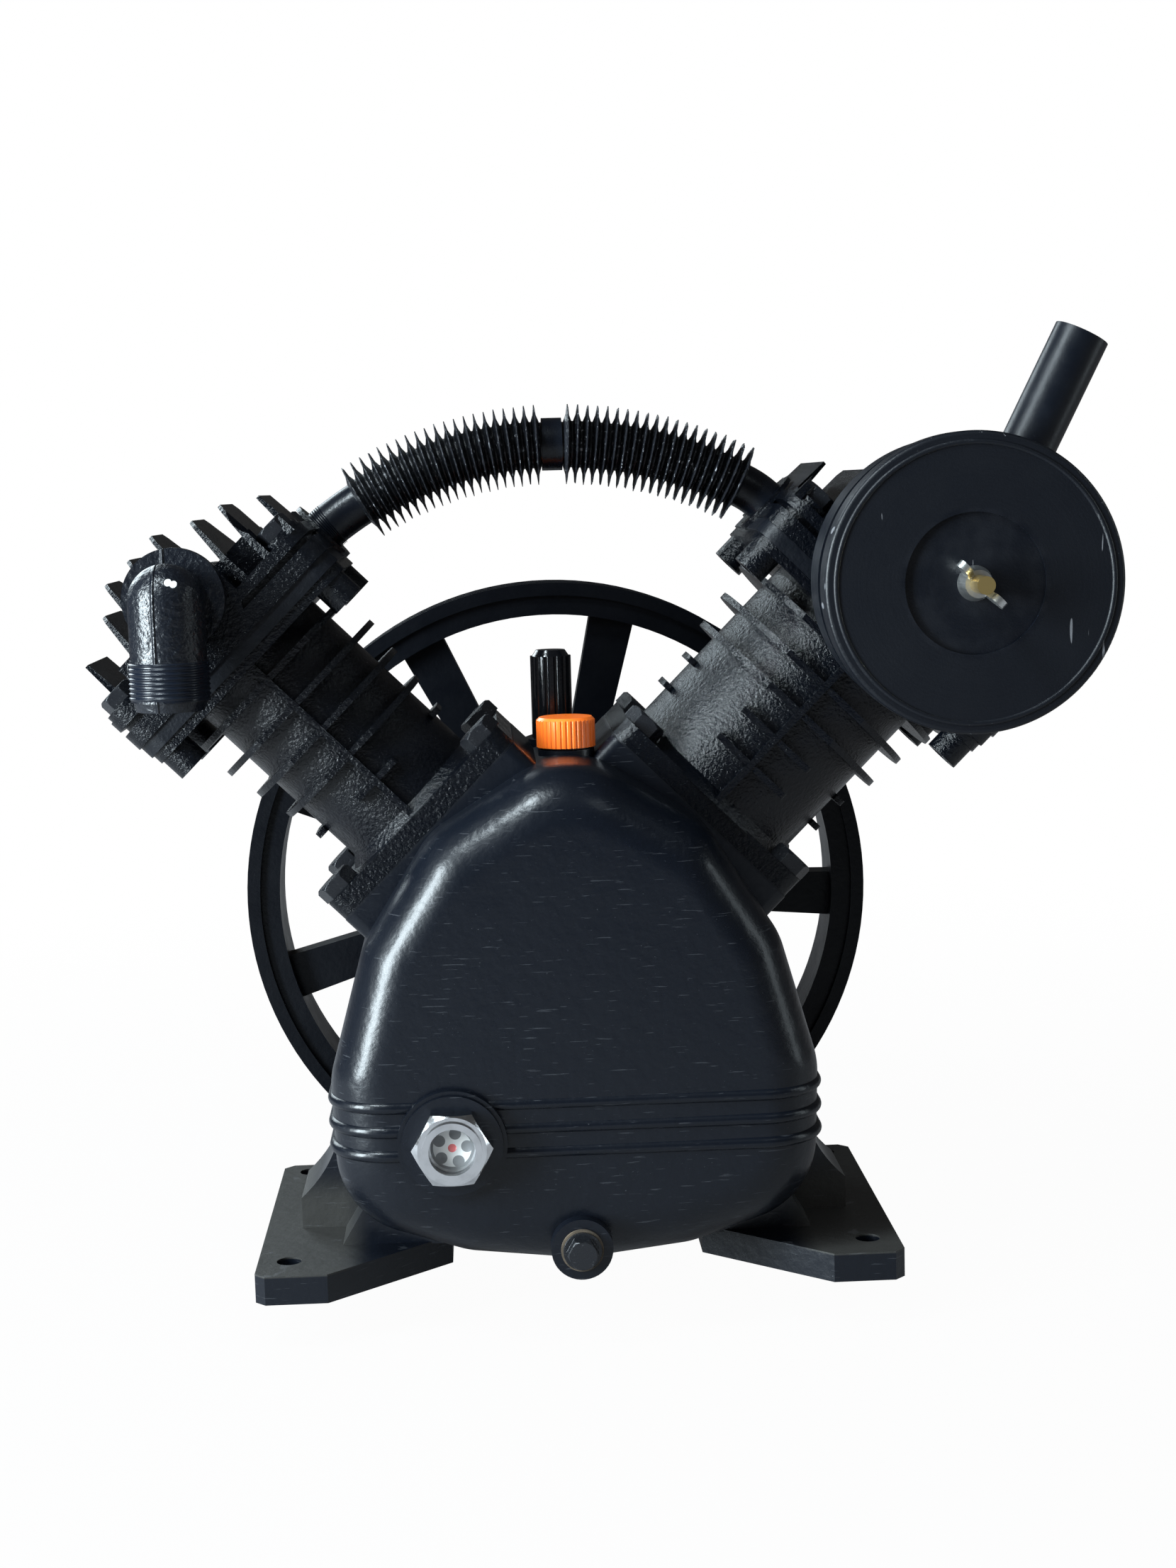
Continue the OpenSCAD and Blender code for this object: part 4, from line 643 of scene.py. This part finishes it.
class PUMP_OT_castings(Operator):
    """Paint, metal, rubber and plastic on the parts that keep their own shapes"""
    bl_idname = "pump.castings"
    bl_label = "Part finishes"

    def execute(self, context):
        for finish, names in NODE_FINISH.items():
            for name in names.split():
                dress(NODES[name], finish)
        return {"FINISHED"}


class PUMP_OT_sight_dot(Operator):
    """The dial on the back of the sight glass and the red dot at its middle"""
    bl_idname = "pump.sight_dot"
    bl_label = "Sight dial"

    def execute(self, context):
        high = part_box("sight_lens")[1]
        # The dial is a thin plate just inside the lens's back face: P(r, a) = r cos a, r sin a
        r = np.array([0.0, 0.004, 0.0102, 0.0102, 0.0])[:, None]
        a = np.linspace(0, 2 * math.pi, 72, endpoint=False)[None, :]
        y = high[1] - np.array([0.0006, 0.0006, 0.0006, 0.0002, 0.0002])[:, None]
        disc = [SIGHT[0] + r * np.cos(a), y + 0 * a, SIGHT[1] + r * np.sin(a)]
        mesh = grid_mesh("sight_dial", np.stack(disc, -1))
        piece("sight_dial", mesh, "float_dial", 1e-6)
        # A dome: P(t, a) = DOT_R sin t in the XZ plane, height cos t towards the viewer
        t = np.linspace(0, math.pi / 2, 9)[:, None]
        a = np.linspace(0, 2 * math.pi, 36, endpoint=False)[None, :]
        x = SIGHT[0] + DOT_R * np.sin(t) * np.cos(a)
        z = SIGHT[1] + DOT_R * np.sin(t) * np.sin(a)
        y = high[1] - 0.0004 - 0.0007 * np.cos(t) + 0 * a
        mesh = grid_mesh("sight_dot", np.stack([x, y, z], -1))
        piece("sight_dot", mesh, "red_dot", 1e-6)
        return {"FINISHED"}


def camera_matrix(place, yaw, pitch, roll):
    """Columns right, up and back of a camera turned by yaw, dipped by pitch and rolled."""
    forward = Vector((math.sin(yaw) * math.cos(pitch), math.cos(yaw) * math.cos(pitch), -math.sin(pitch)))
    right = Vector((math.cos(yaw), -math.sin(yaw), 0.0))
    down = forward.cross(right)
    right2 = math.cos(roll) * right + math.sin(roll) * down
    down2 = -math.sin(roll) * right + math.cos(roll) * down
    turned = Matrix((right2, -down2, -forward)).transposed().to_4x4()
    return Matrix.Translation(Vector(place)) @ turned


class PUMP_OT_stage(Operator):
    """Camera at the photograph's place, pale floor, soft lamps and a white surround"""
    bl_idname = "pump.stage"
    bl_label = "Stage"

    def execute(self, context):
        scene, levels = context.scene, context.scene.pump_stage
        view = bpy.data.cameras.new("photo_view")
        view.sensor_fit = "HORIZONTAL"
        view.sensor_width = SENSOR
        view.lens = FOCAL_SHARE * SENSOR
        view.clip_start, view.clip_end = 0.05, 40.0
        camera = bpy.data.objects.new("photo_view", view)
        camera.matrix_world = camera_matrix(CAMERA_PLACE, *CAMERA_TURN)
        scene.collection.objects.link(camera)
        scene.camera = camera
        for name, level, share, place, wide, tall in LAMPS:
            self.lamp(scene, name, getattr(levels, level) * share, place, wide, tall)
        self.floor(scene)
        self.surround(scene, levels.world)
        scene.view_settings.view_transform = "Standard"
        return {"FINISHED"}

    def lamp(self, scene, name, power, place, wide, tall):
        light = bpy.data.lights.new(name, "AREA")
        light.shape = "RECTANGLE"
        light.energy, light.size, light.size_y = power, wide, tall
        light.color = LAMP_COLOUR
        lamp = bpy.data.objects.new(name, light)
        lamp.location = place
        lamp.rotation_euler = (LAMP_AIM - Vector(place)).to_track_quat("-Z", "Y").to_euler()
        scene.collection.objects.link(lamp)

    def floor(self, scene):
        # A flat disc out to 9 m, just under the wheel: P(r, a) = r cos a, r sin a
        r = np.array([0.0, 0.5, 1.5, 4.0, 9.0])[:, None]
        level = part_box("flywheel")[0][2] - 0.0005
        a = np.linspace(0, 2 * math.pi, 64, endpoint=False)[None, :]
        mesh = grid_mesh("floor", np.stack([r * np.cos(a), r * np.sin(a), 0 * r * a + level], -1))
        s = Shader("pale_floor")
        colour = s.mix(s.noise(0.4, 3, 0.5) * 0.3, (0.24, 0.24, 0.25), (0.21, 0.21, 0.22))
        s.set(Base_Color=colour, Roughness=0.8)
        glow = s.tree.nodes.new("ShaderNodeEmission")
        glow.inputs[0].default_value = (1, 1, 1, 1)
        glow.inputs[1].default_value = 1.0
        seen = self.seen(s)
        far = s.node("ShaderNodeVectorMath", {"operation": "LENGTH"}, {0: s.place}, "Value").above(0.30, 1.30)
        blend = s.tree.nodes.new("ShaderNodeMixShader")
        s.feed(blend.inputs[0], seen * (far * 0.03 + 0.97))
        s.tree.links.new(s.skin.outputs[0], blend.inputs[1])
        s.tree.links.new(glow.outputs[0], blend.inputs[2])
        s.tree.links.new(blend.outputs[0], s.out.inputs[0])
        mesh.materials.append(s.material)
        floor = bpy.data.objects.new("floor", mesh)
        scene.collection.objects.link(floor)

    def seen(self, s):
        """1 for camera and transmission rays, a twentieth for glossy rays, 0 for the rest."""
        path = s.tree.nodes.new("ShaderNodeLightPath")
        a = Value(s, path.outputs["Is Camera Ray"])
        b = Value(s, path.outputs["Is Glossy Ray"])
        c = Value(s, path.outputs["Is Transmission Ray"])
        return s.math("MAXIMUM", s.math("MAXIMUM", a, b * 0.05), c)

    def surround(self, scene, strength):
        world = bpy.data.worlds.new("surround")
        world.use_nodes = True
        scene.world = world
        tree = world.node_tree
        back = tree.nodes["Background"]
        back.inputs[0].default_value = (1, 1, 1, 1)
        path = tree.nodes.new("ShaderNodeLightPath")
        # Camera and transmission rays see white, glossy rays a dark grey, the rest the even light
        seen = strength
        for ray, level in (("Is Glossy Ray", 0.05), ("Is Transmission Ray", 1.0), ("Is Camera Ray", 1.0)):
            mix = tree.nodes.new("ShaderNodeMix")
            mix.data_type = "FLOAT"
            tree.links.new(path.outputs[ray], mix.inputs[0])
            mix.inputs[3].default_value = level
            if isinstance(seen, float):
                mix.inputs[2].default_value = seen
            else:
                tree.links.new(seen, mix.inputs[2])
            seen = mix.outputs[0]
        tree.links.new(seen, back.inputs[1])


class PUMP_PT_panel(Panel):
    """The steps in the sidebar"""
    bl_idname = "PUMP_PT_panel"
    bl_label = "Pump"
    bl_space_type = "VIEW_3D"
    bl_region_type = "UI"
    bl_category = "Pump"

    def draw(self, context):
        for step in STEPS:
            self.layout.operator(step.bl_idname)
        for owner in (context.scene.pump_finish, context.scene.pump_detail, context.scene.pump_stage):
            for name in owner.bl_rna.properties.keys():
                if name not in {"rna_type", "name"}:
                    self.layout.prop(owner, name)


STEPS = (PUMP_OT_castings, PUMP_OT_case_skin, PUMP_OT_sight_dot, PUMP_OT_discharge_thread,
         PUMP_OT_tube_wrinkles, PUMP_OT_tube_fins, PUMP_OT_stage)
SETTINGS = {"pump_finish": FinishSettings, "pump_detail": DetailSettings, "pump_stage": StageSettings}


def register():
    for made in (*SETTINGS.values(), *STEPS, PUMP_PT_panel):
        bpy.utils.register_class(made)
    for name, kind in SETTINGS.items():
        setattr(bpy.types.Scene, name, PointerProperty(type=kind))


def unregister():
    for name in SETTINGS:
        delattr(bpy.types.Scene, name)
    for made in (PUMP_PT_panel, *reversed(STEPS), *reversed(SETTINGS.values())):
        bpy.utils.unregister_class(made)


def main():
    register()
    for step in STEPS:
        group, name = step.bl_idname.split(".")
        getattr(getattr(bpy.ops, group), name)()
    bpy.context.view_layer.update()


if __name__ == "__main__":
    main()
